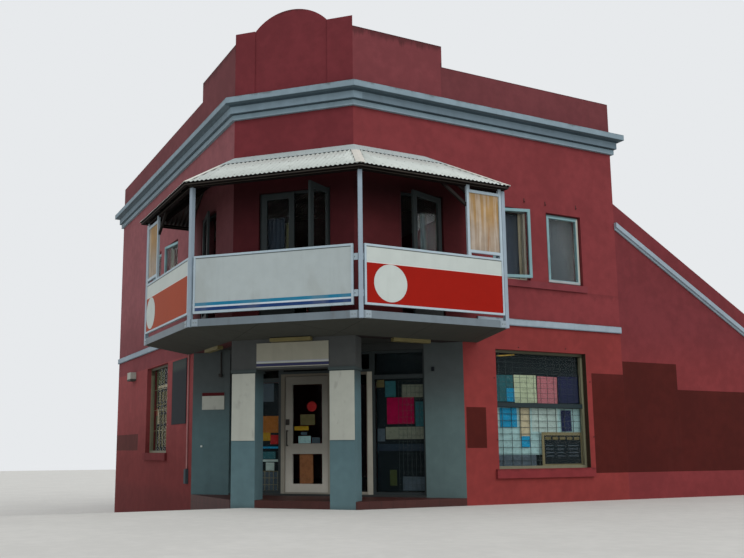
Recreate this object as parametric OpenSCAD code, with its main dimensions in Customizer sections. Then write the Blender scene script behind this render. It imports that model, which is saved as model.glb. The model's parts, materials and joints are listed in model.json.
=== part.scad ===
// Corner shop building with a chamfered street corner, a recessed shopfront,
// a wrap-round verandah on the upper storey and a single-storey wing.
// X runs along the right-hand street wall, Y along the left-hand street wall.
// The inner model has its zero where the two street faces would meet, at the
// level of the footpath. placed() then moves the origin to the foot of the
// right-hand corner column, on the underside of the footings.

/* [Plan] */
// Distance of each chamfer corner from the meeting point of the street faces
chamfer = 1485; // [1200:5:2000]
// Length of the right street wall past the chamfer
right_len = 5535; // [5300:5:7000]
// Length of the left street wall past the chamfer
left_len = 7965; // [7600:5:9500]
// Length of the single-storey wing along the right street
wing_len = 5030; // [3500:10:6000]
// Depth of the wing away from the street
wing_depth = 6000; // [4000:10:7000]
// Thickness of the rendered brick walls and parapets
wall_t = 250; // [200:5:320]
// Distance along each street from the chamfer to the recessed shopfront
recess = 2015; // [1900:5:2300]
// Joint between pieces that meet on a slant
seat = 0.3; // [0.1:0.1:0.5]

/* [Levels] */
// How far the footings reach below the footpath at the corner
footing = 620; // [300:10:900]
// Top of the tiled porch floor
porch_z = 120; // [60:5:150]
// Top of the shop floor
shop_floor_z = 150; // [130:5:180]
// Underside of the upper walls over the porch
soffit_z = 2655; // [2600:5:2680]
// Porch ceiling, the underside of the upper floor
ceiling_z = 2690; // [2660:5:2750]
// Top of the upper floor
upper_floor_z = 2950; // [2910:5:3050]
// Underside of the cornice
cornice_z = 6410; // [6200:5:6700]
// Top of the low parapets
parapet_low_z = 7420; // [7200:5:7800]
// Top of the raised parapets beside the chamfer
parapet_high_z = 7800; // [7500:5:8100]
// Top of the two piers on the chamfer
pier_z = 7980; // [7850:5:8300]
// Rise of the arch between the piers
arch_rise = 300; // [150:5:450]

/* [Parapet] */
// Length of the raised parapet on the right wall
raised_right = 1745; // [1200:5:2400]
// Length of the raised parapet on the left wall
raised_left = 1770; // [1200:5:2400]
// Half the width of the arched panel
arch_half = 650; // [500:5:800]
// How far the arched panel sits to the left of the chamfer's middle
arch_shift = 40; // [0:5:100]
// How far the arched panel sits behind the piers
panel_set = 20; // [10:5:40]

/* [Cornice and string course] */
// Height of the lowest cornice band
low_band_h = 90; // [60:5:130]
// Projection of the lowest cornice band
low_band_p = 50; // [30:5:70]
// Height of the groove over the lowest band
groove_h = 14; // [8:1:25]
// Projection of the wall of the groove
groove_p = 34; // [20:1:45]
// Height of the broad cornice band
broad_band_h = 130; // [80:5:180]
// Projection of the broad cornice band
broad_band_p = 90; // [75:5:110]
// Radius of the cove under the top band
cove_r = 26; // [15:1:40]
// Step from the broad band out to the foot of the cove
cove_step = 8; // [4:1:15]
// Height of the top cornice band
top_band_h = 115; // [70:5:150]
// Projection of the top cornice band
top_band_p = 190; // [165:5:240]
// Fall of the weathered top of the cornice
weather_h = 12; // [5:1:20]
// How far the cornice returns round the ends of the building
corn_return = 300; // [200:10:500]
// Underside of the string course
string_z = 2985; // [2900:5:3100]
// Height of the string course
string_h = 115; // [60:5:160]
// Projection of the string course
string_p = 35; // [20:5:60]

/* [Shop windows] */
// Start of the right shop window past the chamfer
shop_r_s = 2680; // [2500:5:2900]
// Width of the right shop window
shop_r_w = 1980; // [1500:5:2100]
// Sill level of the right shop window
shop_r_z = 570; // [400:5:800]
// Head level of the right shop window
shop_head_z = 2570; // [2400:5:2600]
// Underside of the right shop window's transom
shop_bar_z = 1605; // [1300:5:1900]
// Height of the right shop window's transom
shop_bar_h = 70; // [40:5:100]
// Start of the left shop window past the chamfer
shop_l_s = 3690; // [3500:5:4200]
// Width of the left shop window
shop_l_w = 1580; // [1200:5:1900]
// Sill level of the left shop window
shop_l_z = 850; // [600:5:1000]
// Head level of the left shop window
shop_l_head_z = 2640; // [2500:5:2645]
// Depth of the metal shop window frames
frame_d = 60; // [40:5:100]
// Face width of the metal shop window frames
frame_w = 45; // [30:5:70]
// Thickness of the window glass
glass_t = 6; // [4:1:10]
// Distance of the window frames behind the wall face
reveal = 90; // [50:5:120]
// Height of the shop window sills
shop_sill_h = 150; // [80:5:180]
// Projection of the shop window sills
shop_sill_p = 45; // [25:5:70]
// How far the sills run past their windows
sill_past = 70; // [30:5:120]

/* [Upper windows] */
// Sill level of the upper windows
upper_sill_z = 3800; // [3700:5:4000]
// Head level of the upper windows and doors
upper_head_z = 5090; // [4900:5:5200]
// Starts of the two right upper windows past the chamfer
upper_r_s = [2700, 3905]; // [2500:5:4300]
// Opening angles of the two right upper sashes
upper_r_open = [14, 0]; // [0:1:40]
// Starts of the two left upper windows past the chamfer
upper_l_s = [3190, 4400]; // [3000:5:5000]
// Opening angles of the two left upper sashes
upper_l_open = [8, 0]; // [0:1:40]
// Starts of the two rear upper windows from the left street
upper_rear_s = [1400, 4200]; // [1000:5:5000]
// Width of the upper windows
upper_w = 800; // [600:5:900]
// Thickness of the sashes and of the balcony door leaves
sash_t = 40; // [30:1:50]
// Face width of the sashes' stiles and rails
sash_w = 50; // [35:1:70]
// Lap of sashes and balcony door leaves over their frames
lap = 15; // [5:1:20]
// Height of the sill band under the upper windows
sill_band_h = 120; // [60:5:160]
// Projection of the sill band under the upper windows
sill_band_p = 30; // [15:5:50]

/* [Balcony doors] */
// Width of the double doors on the chamfer
french_w = 1240; // [1000:5:1400]
// How far the double doors sit to the right of the chamfer's middle
french_shift = 30; // [0:5:80]
// Opening angle of the double doors' right-hand leaf
french_open = 75; // [0:1:90]
// Start of the single doors past the chamfer
balc_door_s = 870; // [700:5:1000]
// Width of the single doors
balc_door_w = 830; // [700:5:950]
// Opening angle of the right single door
door_r_open = 20; // [0:1:90]
// Opening angle of the left single door
door_l_open = 12; // [0:1:90]
// Distance of the balcony door frames behind the wall face
door_reveal = 60; // [50:1:90]
// Face width of the balcony door leaves' stiles
door_stile = 95; // [70:5:120]
// Height of the balcony door leaves' bottom rails
door_bottom = 260; // [150:5:400]

/* [Shopfront] */
// Width of the right-hand pier of the shopfront
pier_r_w = 660; // [400:5:800]
// Width of the left-hand pier of the shopfront
pier_l_w = 735; // [400:5:800]
// Left edge of the entry assembly from the shopfront's middle
entry_l = -785; // [-900:5:-700]
// Right edge of the entry assembly from the shopfront's middle
entry_r = 885; // [860:5:1000]
// Head of the entry frame
entry_head_z = 2220; // [2200:5:2300]
// Height of the entry frame's head member
entry_head_h = 40; // [30:1:60]
// Height of the entry threshold
threshold_h = 20; // [10:1:30]
// Width of the entry door leaf
leaf_w = 792; // [700:2:830]
// Thickness of the entry door leaf
leaf_t = 45; // [38:1:55]
// Running gap round the door leaves
leaf_gap = 5; // [4:0.5:8]
// Face width of the left entry jamb
jamb_w = 72; // [50:1:80]
// Face width of the mullion beside the door
mullion_w = 60; // [40:5:80]
// Face width of the sidelight's outer stile
side_stile_w = 100; // [60:5:120]
// Face width of the leaf's lock stile
lock_stile_w = 138; // [90:1:160]
// Face width of the leaf's hinge stile
hinge_stile_w = 107; // [80:1:140]
// Underside of the leaf's middle rail
mid_rail_z = 828; // [700:2:900]
// Height of the leaf's middle rail
mid_rail_h = 179; // [100:1:240]
// Height of the leaf's top rail
top_rail = 140; // [90:5:180]
// Height of the leaf's bottom rail
bottom_rail = 143; // [100:1:220]
// Radius of the hinge barrels
barrel_r = 7; // [5:0.5:10]
// Length of the hinge barrels
barrel_h = 90; // [70:5:120]
// Clearance between barrels and the faces they lie against
barrel_gap = 0.3; // [0.2:0.1:0.6]
// Underside of the shopfront's transom
transom_z = 2085; // [1950:5:2120]
// Height of the shopfront's transom
transom_h = 70; // [40:5:90]

/* [Corner columns] */
// Distance of the columns' inner faces from the chamfer's middle
col_in = 625; // [500:5:635]
// Width of the columns along the chamfer
col_w = 410; // [300:5:415]
// Depth of the columns
col_d = 330; // [250:5:420]
// Underside of the beam on the columns
beam_z = 2175; // [2100:5:2350]
// Height of the ledge at the columns' heads
ledge_h = 48; // [30:2:70]
// Projection of the ledge at the columns' heads
ledge_p = 18; // [13:1:40]
// Thickness of the boards and plates fixed to the faces
board_t = 12; // [6:1:12]

/* [Balcony] */
// Projection of the balcony from the walls
balc_p = 850; // [700:5:1100]
// Reach of the balcony past the chamfer along each wall
balc_reach = 2320; // [1900:5:2400]
// Top of the balcony deck
deck_z = 2895; // [2860:5:2940]
// Underside of the fascia
fascia_z = 2790; // [2740:5:2820]
// Thickness of the fascia's steel
fascia_t = 12; // [8:1:30]
// How far the fascia stands above the deck
fascia_up = 10; // [0:1:30]
// Side of the square splice plates on the fascia
splice_w = 100; // [60:5:110]
// Thickness of the splice plates
splice_t = 8; // [4:1:12]
// Side of the square posts
post_w = 65; // [50:5:90]
// Height of the beam on the posts
beam_h = 50; // [40:5:70]
// Width of the beam on the posts
beam_w = 50; // [40:5:70]

/* [Sign boards] */
// Underside of the sign boards' frames
sign_z = 2990; // [2950:5:3050]
// Height of the sign boards with their frames
sign_h = 915; // [700:5:950]
// Thickness of the sign boards
sign_t = 12; // [8:1:20]
// Half the length of the board over the chamfer, with its frame
sign_half = 1305; // [1200:5:1330]
// How far the board over the chamfer sits to the left of the middle
sign_shift = 25; // [0:5:30]
// Clear width between a corner post and a side board's frame
sign_gap = 15; // [10:5:60]
// Clear width between an end post and a side board's frame
sign_end_gap = 8; // [4:1:60]
// Face width of the sign boards' frames
rail_w = 32; // [20:2:50]
// Depth of the sign boards' frames
rail_d = 40; // [25:5:60]
// Height of the lugs that hold the frames on the posts
lug_h = 100; // [50:5:120]
// Thickness of the lugs
lug_t = 8; // [5:1:12]
// Height of the upper and lower lugs' middles over the frame's underside
lug_up = [175, 720]; // [80:5:830]

/* [Screens] */
// Width of the screens beside the end posts
screen_w = 675; // [500:5:800]
// Clear height between the sign board and a screen
screen_up = 50; // [30:5:100]
// Clear height between a screen and the beam on the posts
screen_down = 50; // [30:5:200]
// Face width of the screens' frames
screen_frame_w = 45; // [30:5:60]
// Thickness of the screens' sheets
screen_t = 6; // [4:1:10]
// Width of the stubs above and below the screens
stub_w = 60; // [40:5:80]

/* [Verandah roof] */
// Overhang of the eave past the posts
eave_over = 145; // [120:5:250]
// Reach of the eave past the chamfer along each wall
eave_reach = 2340; // [2000:5:2450]
// Level of the eave's upper edge
eave_z = 5095; // [5070:5:5150]
// Level of the roof's upper edge on the walls
roof_wall_z = 5750; // [5600:5:5900]
// Vertical thickness of the corrugated sheets, crest to trough
sheet_t = 21; // [12:1:25]
// Vertical depth of the rafters under the sheets
rafter_h = 100; // [60:1:120]
// Width of the rafters
rafter_w = 50; // [35:5:70]
// How far the rafters bite into the beam on the posts
rafter_bite = 6; // [3:1:15]
// Greatest spacing of the rafters
rafter_step = 750; // [500:10:1000]
// Vertical depth of the batten along the eave
eave_batten_h = 45; // [30:5:70]
// Distance along the beam that the knee braces by the screens take
brace_run = 425; // [200:5:600]
// Height that they take under the beam
brace_drop = 300; // [150:5:450]
// Depth of the knee braces
brace_d = 45; // [30:1:60]
// Thickness of the knee braces
brace_t = 40; // [25:1:45]
// Width of the flashing along the wall
apron_w = 130; // [80:5:200]
// Half the width of the cappings on the hips
hip_cap_w = 70; // [50:5:110]
// Thickness of the flashings
flashing_t = 4; // [2:1:6]

/* [Fittings] */
// Start of the name board from the chamfer's middle
name_l = -605; // [-620:5:-400]
// Length of the name board
name_len = 1220; // [900:5:1225]
// Height of the name board
name_h = 385; // [250:5:400]
// Level of the name board's underside
name_z = 2205; // [2200:5:2250]
// Underside of the boards on the columns
col_board_z = 1045; // [900:5:1200]
// Height of the boards on the columns
col_board_h = 1065; // [800:5:1070]
// Margin of the boards on the columns
col_board_in = 5; // [2:1:30]
// Length of the light battens
light_len = 690; // [500:10:900]
// Width of the light battens
light_w = 100; // [60:5:120]
// Height of the light battens
light_h = 55; // [40:5:80]
// Start of the side light battens past the chamfer
light_s = 700; // [500:10:900]
// Start of the blind panel on the left wall past the chamfer
panel_s = 2400; // [2350:5:2500]
// Width of the blind panel on the left wall
panel_w = 920; // [600:5:1000]
// Underside of the blind panel on the left wall
panel_z = 1390; // [1200:5:1500]
// Height of the blind panel on the left wall
panel_h = 1225; // [1000:5:1230]
// Distance of the conduit on the left wall past the chamfer
conduit_s = 2250; // [2150:5:2300]
// Radius of the conduit on the left wall
conduit_r = 16; // [10:1:25]
// Foot of the conduit on the left wall
conduit_z = 300; // [200:5:500]
// Side of the square guard on the conduit's foot
guard_w = 110; // [80:5:140]
// Height of the guard on the conduit's foot
guard_h = 260; // [150:5:350]
// Start of the lamp on the left wall past the chamfer
lamp_s = 6250; // [6000:5:6800]
// Width of the lamp on the left wall
lamp_w = 300; // [200:5:400]
// Projection of the lamp on the left wall
lamp_p = 130; // [80:5:160]
// Underside of the lamp on the left wall
lamp_z = 2460; // [2300:5:2600]
// Height of the lamp on the left wall
lamp_h = 190; // [120:5:250]

/* [Handle and notices] */
// Width of the lock case
lock_w = 60; // [40:1:90]
// Thickness of the lock case
lock_t = 20; // [10:1:30]
// Underside of the lock case
lock_z = 1330; // [1250:1:1400]
// Height of the lock case
lock_h = 100; // [60:5:140]
// Underside of the pull handle
pull_z = 966; // [900:1:1040]
// Length of the pull handle
pull_len = 270; // [150:5:280]
// Width of the pull handle's bars
pull_w = 18; // [10:1:25]
// Distance of the pull handle from the leaf
pull_off = 40; // [30:1:60]
// Left edge of the notice plate from the shopfront's middle
notice_x = -2280; // [-2300:5:-2200]
// Width of the notice plate
notice_w = 440; // [200:5:450]
// Underside of the notice plate
notice_z = 1620; // [1400:5:1700]
// Height of the notice plate
notice_h = 305; // [200:5:400]
// Distance of the small box from the right pier's outer edge
box_in = 485; // [300:5:500]
// Width of the small box on the right pier
box_w = 45; // [30:5:80]
// Projection of the small box on the right pier
box_d = 30; // [15:5:60]
// Underside of the small box on the right pier
box_z = 2185; // [2000:5:2300]
// Height of the small box on the right pier
box_h = 70; // [40:5:120]

/* [Wing] */
// Level of the wing's raking parapet where it meets the main block
rake_high_z = 5452; // [5000:5:5700]
// Level of the wing's raking parapet at its far end
rake_low_z = 2680; // [2500:5:3200]
// Distance of the raking moulding's top below the parapet's top
rake_drop = 370; // [250:5:450]
// Height of the raking moulding
rake_h = 90; // [60:5:150]
// Projection of the raking moulding
rake_p = 60; // [30:5:90]
// Height of the bed under the raking moulding
rake_bed_h = 45; // [20:5:70]
// Projection of the bed under the raking moulding
rake_bed_p = 28; // [15:1:40]

/* [Roofs and gutters] */
// Level of the main roof's underside at the street side
roof_high_z = 6720; // [6600:5:6780]
// Level of the main roof's underside at the rear wall
roof_low_z = 6280; // [6100:5:6400]
// Thickness of the roofs
roof_t = 120; // [80:5:200]
// Overhang of the roofs at their gutters
roof_over = 150; // [100:5:250]
// Drop of the wing's roof below its street parapet
wing_roof_drop = 450; // [350:5:600]
// Width of the gutters
gutter_w = 110; // [90:5:150]
// Height of the gutters
gutter_h = 90; // [70:5:120]
// Thickness of the gutters' metal
gutter_t = 3; // [2:1:5]
// Radius of the downpipes
pipe_r = 40; // [30:1:50]

/* [Hidden] */

root2 = sqrt(2);
mitre = root2 - 1;
far = 15000;
cut = 10;
x_end = chamfer + right_len;
y_end = chamfer + left_len;
x_wing = x_end + wing_len;
half_ch = chamfer / root2;
shop_k = chamfer + recess;
half_shop = shop_k / root2;
wall_top_z = cornice_z + low_band_h + groove_h + broad_band_h + cove_r + top_band_h;
leaf_l = entry_l + jamb_w + leaf_gap;
leaf_r = leaf_l + leaf_w;
leaf_z = shop_floor_z + threshold_h + leaf_gap;
leaf_top_z = entry_head_z - entry_head_h - leaf_gap;
leaf_y = reveal + frame_d - leaf_t;
side_l = leaf_r + leaf_gap + mullion_w;
mid_rail_top_z = mid_rail_z + mid_rail_h;
roof_p = balc_p + eave_over;
roof_slope = (roof_wall_z - eave_z) / roof_p;
post_off = balc_p - post_w / 2;
beam_top_z = sheet_under(post_off + beam_w / 2) - seat - rafter_h + rafter_bite;
post_top_z = beam_top_z - beam_h;
sign_l = sign_gap - mitre * post_off + post_side(lug_t / 2);
sign_r = balc_reach - post_w - sign_end_gap;
sign_top_z = sign_z + sign_h;
screen_z = sign_top_z + screen_up;
screen_top_z = post_top_z - screen_down;
rake_slope = (rake_high_z - rake_low_z) / wing_len;
wing_high_z = rake_high_z - wing_roof_drop;
wing_low_z = rake_low_z - wing_roof_drop;

function column_x() = chamfer / 2 + (col_in + col_w / 2 + col_d / 2) / root2;
function column_y() = chamfer / 2 - (col_in + col_w / 2 - col_d / 2) / root2;

// Underside of the verandah's sheets at a distance out from the walls.
function sheet_under(q) = eave_z + (roof_p - q) * roof_slope - sheet_t;

// Side face of a corner post at a distance from its middle.
function post_side(y) = (post_w / 2 + y * sin(22.5)) / cos(22.5);

// Underside of the main roof at a distance from the right street.
function roof_under(y) =
    roof_high_z - (roof_high_z - roof_low_z) * (y - wall_t) / (y_end - wall_t);

// The right-hand corner column's foot is the origin of the finished part.
module placed() {
    translate([-column_x(), -column_y(), footing]) children();
}

// Shapes drawn for the right street are mirrored onto the left street.
module left_side() {
    mirror([1, -1, 0]) children();
}

module both_sides() {
    children();
    left_side() children();
}

// Local X runs along the chamfer to the right, local Y into the building.
module on_corner() {
    translate([chamfer / 2, chamfer / 2, 0]) rotate([0, 0, -45]) children();
}

// The same directions at the middle of the recessed shopfront.
module on_shopfront() {
    translate([shop_k / 2, shop_k / 2, 0]) rotate([0, 0, -45]) children();
}

// A box from its lowest to its highest corner.
module block(low, high) {
    translate(low) cube(high - low);
}

// A plan outline between two levels.
module storey(points, z0, z1) {
    translate([0, 0, z0]) linear_extrude(z1 - z0) polygon(points);
}

// Plan of a street wall that is mitred at the corner it starts from.
function wall_plan(start, end) =
    [[start, 0], [end, 0], [end, wall_t], [start + mitre * wall_t, wall_t]];

// Plan of the wall over the chamfer, in the chamfer's directions.
function corner_plan() = [[-half_ch + seat, 0], [half_ch - seat, 0],
    [half_ch - seat - mitre * wall_t, wall_t], [-half_ch + seat + mitre * wall_t, wall_t]];

// Plan of the space behind street walls and a front that starts at distance k.
function inside_plan(k, t) = [[k + mitre * t, t], [x_end - wall_t, t],
    [x_end - wall_t, y_end - wall_t], [t, y_end - wall_t], [t, k + mitre * t]];

// Plan of a band that follows both streets and the chamfer out to p.
function band_plan(p, reach, back = 0) =
    let (k = chamfer - seat * root2 + mitre * back) [
    [chamfer + reach, back], [chamfer + reach, -p],
    [chamfer - mitre * p, -p], [-p, chamfer - mitre * p],
    [-p, chamfer + reach], [back, chamfer + reach], [back, k], [k, back]];

// All of the building's own plan, between two levels.
module building_mass(z0, z1) {
    k = chamfer - seat * root2;
    storey([[k, 0], [far, 0], [far, far], [0, far], [0, k]], z0, z1);
}

// All that lies behind a face with a profile of [projection, level] points.
module behind_face(profile) {
    last = len(profile) - 1;
    translate([-far, 0, 0]) rotate([90, 0, 90]) linear_extrude(2 * far)
        polygon(concat([[far, profile[0][1]]], [for (p = profile) [-p[0], p[1]]],
            [[far, profile[last][1]]]));
}

// One profile carried round both streets and the chamfer, with true mitres.
module round_corner(profile) {
    intersection() {
        behind_face(profile);
        left_side() behind_face(profile);
        on_corner() behind_face(profile);
    }
}

// The same with ends that turn away from the streets at a distance from the chamfer.
module round_all(profile, reach_r, reach_l) {
    intersection() {
        round_corner(profile);
        translate([chamfer + reach_r, 0, 0]) rotate([0, 0, 90]) behind_face(profile);
        left_side() translate([chamfer + reach_l, 0, 0]) rotate([0, 0, 90])
            behind_face(profile);
    }
}

// A street wall's opening, from s past the chamfer.
module opening(s, w, z0, z1) {
    block([chamfer + s, -cut, z0], [chamfer + s + w, wall_t + cut, z1]);
}

// A rectangular frame seen from the street, in the X-Z plane.
module frame(x0, x1, z0, z1, y, d, face) {
    difference() {
        block([x0, y, z0], [x1, y + d, z1]);
        block([x0 + face, y - cut, z0 + face], [x1 - face, y + d + cut, z1 - face]);
    }
}

// A pane held in a hole of the given size.
module pane(x0, x1, z0, z1, y) {
    block([x0 + seat, y - glass_t / 2, z0 + seat], [x1 - seat, y + glass_t / 2, z1 - seat]);
}

// A leaf turned on barrels that lie on its frame's face, seen from the street.
module hung(x, open, face_y) {
    translate([x, face_y - barrel_gap - barrel_r, 0]) rotate([0, 0, -open]) children();
}

// A glazed leaf drawn from its hinge line, with its barrels.
module glazed_leaf(w, z0, z1, stile, bottom) {
    difference() {
        block([0, -sash_t, z0], [w, 0, z1]);
        block([stile, -sash_t - cut, z0 + bottom], [w - stile, cut, z1 - stile]);
    }
    for (z = [z0 + 2 * barrel_h, z1 - 3 * barrel_h])
        translate([0, 0, z]) cylinder(r = barrel_r, h = barrel_h, $fn = 32);
}

module leaf_pane(w, z0, z1, stile, bottom) {
    pane(stile, w - stile, z0 + bottom, z1 - stile, -sash_t / 2);
}

module right_wall_ground() {
    color("firebrick") difference() {
        storey(wall_plan(shop_k, x_end), -footing, soffit_z);
        opening(shop_r_s, shop_r_w, shop_r_z, shop_head_z);
    }
}

module left_wall_ground() {
    color("firebrick") left_side() difference() {
        storey(wall_plan(shop_k, y_end), -footing, soffit_z);
        opening(shop_l_s, shop_l_w, shop_l_z, shop_l_head_z);
    }
}

module end_wall() {
    color("firebrick")
        block([x_end - wall_t, wall_t, -footing], [x_end, y_end - wall_t, parapet_low_z]);
}

// The rear wall's top follows the fall of the main roof.
module rear_wall() {
    y0 = y_end - wall_t;
    color("firebrick") difference() {
        translate([wall_t, 0, 0]) rotate([90, 0, 90]) linear_extrude(x_end - wall_t)
            polygon([[y0, -footing], [y_end, -footing], [y_end, roof_under(y_end) - seat],
                [y0, roof_under(y0) - seat]]);
        for (x = upper_rear_s)
            block([x, y0 - cut, upper_sill_z], [x + upper_w, y_end + cut, upper_head_z]);
    }
}

module right_wall_upper() {
    color("brown") difference() {
        storey(wall_plan(chamfer, x_end), soffit_z, wall_top_z);
        for (s = upper_r_s) opening(s, upper_w, upper_sill_z, upper_head_z);
        opening(balc_door_s, balc_door_w, upper_floor_z, upper_head_z);
    }
}

module left_wall_upper() {
    color("brown") left_side() difference() {
        storey(wall_plan(chamfer, y_end), soffit_z, wall_top_z);
        for (s = upper_l_s) opening(s, upper_w, upper_sill_z, upper_head_z);
        opening(balc_door_s, balc_door_w, upper_floor_z, upper_head_z);
    }
}

french_l = french_shift - french_w / 2;
french_r = french_shift + french_w / 2;

module corner_wall_upper() {
    color("brown") on_corner() difference() {
        storey(corner_plan(), soffit_z, wall_top_z);
        block([french_l, -cut, upper_floor_z], [french_r, wall_t + cut, upper_head_z]);
    }
}

module parapet_side(len, raised) {
    storey(wall_plan(chamfer, chamfer + len), wall_top_z, parapet_low_z);
    storey(wall_plan(chamfer, chamfer + raised), parapet_low_z, parapet_high_z);
}

module parapet_right() {
    color("firebrick") parapet_side(right_len, raised_right);
}

module parapet_left() {
    color("firebrick") left_side() parapet_side(left_len, raised_left);
}

// The arch is a segment of a circle that stands on the piers' level.
module parapet_corner() {
    arch_r = (arch_half * arch_half + arch_rise * arch_rise) / (2 * arch_rise);
    arch_l = -arch_shift - arch_half;
    color("firebrick") on_corner() difference() {
        union() {
            storey(corner_plan(), wall_top_z, pier_z);
            intersection() {
                translate([-arch_shift, wall_t, pier_z + arch_rise - arch_r])
                    rotate([90, 0, 0]) cylinder(r = arch_r, h = wall_t, $fn = 96);
                block([arch_l, 0, pier_z - cut],
                    [arch_l + 2 * arch_half, wall_t, pier_z + arch_rise + cut]);
            }
        }
        block([arch_l, -cut, wall_top_z],
            [arch_l + 2 * arch_half, panel_set, pier_z + arch_rise + cut]);
    }
}

// Low band, groove, broad band, cove and weathered top band.
module cornice() {
    z1 = cornice_z + low_band_h;
    z2 = z1 + groove_h;
    z3 = z2 + broad_band_h;
    cove_x = broad_band_p + cove_step + cove_r;
    profile = concat(
        [[low_band_p, cornice_z], [low_band_p, z1], [groove_p, z1], [groove_p, z2],
            [broad_band_p, z2], [broad_band_p, z3]],
        [for (a = [180:-15:90]) [cove_x + cove_r * cos(a), z3 + cove_r * sin(a)]],
        [[top_band_p, z3 + cove_r], [top_band_p, wall_top_z - weather_h],
            [0, wall_top_z]]);
    module past_return(len) {
        block([chamfer + len - cut, corn_return, cornice_z - cut],
            [far + cut, far + cut, wall_top_z + cut]);
    }
    color("lightslategray") difference() {
        round_all(profile, right_len, left_len);
        storey([[chamfer - seat * root2, 0], [x_end, 0], [x_end, y_end], [0, y_end],
            [0, chamfer - seat * root2]], cornice_z - cut, wall_top_z + cut);
        past_return(right_len);
        left_side() past_return(left_len);
    }
}

// The string course past the balcony and the wing's raking moulding.
module string_course() {
    module run(len) {
        block([chamfer + balc_reach + seat, -string_p, string_z],
            [chamfer + len, 0, string_z + string_h]);
    }
    module rake(drop, h, p) {
        high = rake_high_z - drop;
        low = rake_low_z - drop;
        rotate([90, 0, 0]) linear_extrude(p)
            polygon([[x_end, high - h], [x_wing, low - h], [x_wing, low], [x_end, high]]);
    }
    color("lightslategray") {
        run(right_len);
        left_side() run(left_len);
        rake(rake_drop, rake_h, rake_p);
        rake(rake_drop + rake_h, rake_bed_h, rake_bed_p);
    }
}

// Rendered sills under the shop windows and one band under each upper pair.
module window_sills() {
    module sill(s, w, z, h, p) {
        block([chamfer + s - sill_past, -p, z - h], [chamfer + s + w + sill_past, 0, z]);
    }
    module upper(list) {
        sill(list[0], list[1] + upper_w - list[0], upper_sill_z, sill_band_h, sill_band_p);
    }
    color("brown") {
        sill(shop_r_s, shop_r_w, shop_r_z, shop_sill_h, shop_sill_p);
        upper(upper_r_s);
        left_side() {
            sill(shop_l_s, shop_l_w, shop_l_z, shop_sill_h, shop_sill_p);
            upper(upper_l_s);
        }
    }
}

module main_roof() {
    w = wall_t + seat;
    rear = y_end + roof_over;
    color("gainsboro") intersection() {
        translate([wall_t, 0, 0]) rotate([90, 0, 90]) linear_extrude(x_end - 2 * wall_t)
            polygon([[w, roof_under(w)], [rear, roof_under(rear)],
                [rear, roof_under(rear) + roof_t], [w, roof_under(w) + roof_t]]);
        storey([[chamfer + mitre * w, w], [x_end, w], [x_end, rear], [w, rear],
            [w, chamfer + mitre * w]], 0, far);
    }
}

module shop_floor() {
    color("dimgray") storey(inside_plan(shop_k, wall_t + seat), 0, shop_floor_z);
}

module upper_floor() {
    color("dimgray") storey(inside_plan(chamfer, wall_t + seat), ceiling_z, upper_floor_z);
}

// Plan of the two columns, grown by g, in the chamfer's directions.
module column_plan(g) {
    for (side = [0, 1]) mirror([side, 0]) translate([col_in - g, -g])
        square([col_w + 2 * g, col_d + 2 * g]);
}

module porch_base() {
    k = shop_k - seat * root2;
    color("maroon") difference() {
        storey([[chamfer, 0], [k, 0], [0, k], [0, chamfer]], -footing, porch_z);
        on_corner() translate([0, 0, -footing - cut])
            linear_extrude(footing + porch_z + 2 * cut) column_plan(seat);
    }
}

module corner_columns() {
    color("steelblue") on_corner() {
        translate([0, 0, -footing]) linear_extrude(footing + beam_z) column_plan(0);
        translate([0, 0, beam_z - ledge_h]) linear_extrude(ledge_h) column_plan(ledge_p);
    }
}

module corner_beam() {
    color("slategray") on_corner()
        block([-half_ch + seat, 0, beam_z], [half_ch - seat, col_d, soffit_z]);
}

// A shopfront pier runs into the street wall with a mitre, under the upper wall.
module shopfront_pier(w) {
    difference() {
        on_shopfront() storey([[half_shop - w, 0], [half_shop - seat, 0],
            [half_shop - seat - mitre * wall_t, wall_t], [half_shop - w, wall_t]],
            -footing, ceiling_z - seat);
        block([0, -far, soffit_z], [far, wall_t + seat, ceiling_z + cut]);
    }
}

module shopfront_pier_right() {
    color("steelblue") shopfront_pier(pier_r_w);
}

module shopfront_pier_left() {
    color("steelblue") left_side() shopfront_pier(pier_l_w);
}

front_l = -half_shop + pier_l_w + seat;
front_r = half_shop - pier_r_w - seat;

module shopfront_header() {
    color("slategray") on_shopfront() {
        block([front_l, 0, shop_head_z], [front_r, wall_t, ceiling_z - seat]);
        block([front_l, 0, -footing], [front_r, wall_t, shop_floor_z]);
    }
}

module shopfront_windows() {
    module sheet(x0, x1) {
        frame(x0, x1, shop_floor_z, shop_head_z, reveal, frame_d, frame_w);
        block([x0 + frame_w, reveal, transom_z], [x1 - frame_w, reveal + frame_d,
            transom_z + transom_h]);
    }
    color("darkslategray") on_shopfront() {
        sheet(front_l, entry_l - seat);
        sheet(entry_r + seat, front_r);
        frame(entry_l, entry_r, entry_head_z, shop_head_z, reveal, frame_d, frame_w);
    }
}

glass_y = reveal + frame_d / 2;

module shopfront_glass() {
    module panes(x0, x1) {
        pane(x0 + frame_w, x1 - frame_w, shop_floor_z + frame_w, transom_z, glass_y);
        pane(x0 + frame_w, x1 - frame_w, transom_z + transom_h, shop_head_z - frame_w, glass_y);
    }
    color("lightblue") on_shopfront() {
        panes(front_l, entry_l - seat);
        panes(entry_r + seat, front_r);
        pane(entry_l + frame_w, entry_r - frame_w, entry_head_z + frame_w,
            shop_head_z - frame_w, glass_y);
    }
}

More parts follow.
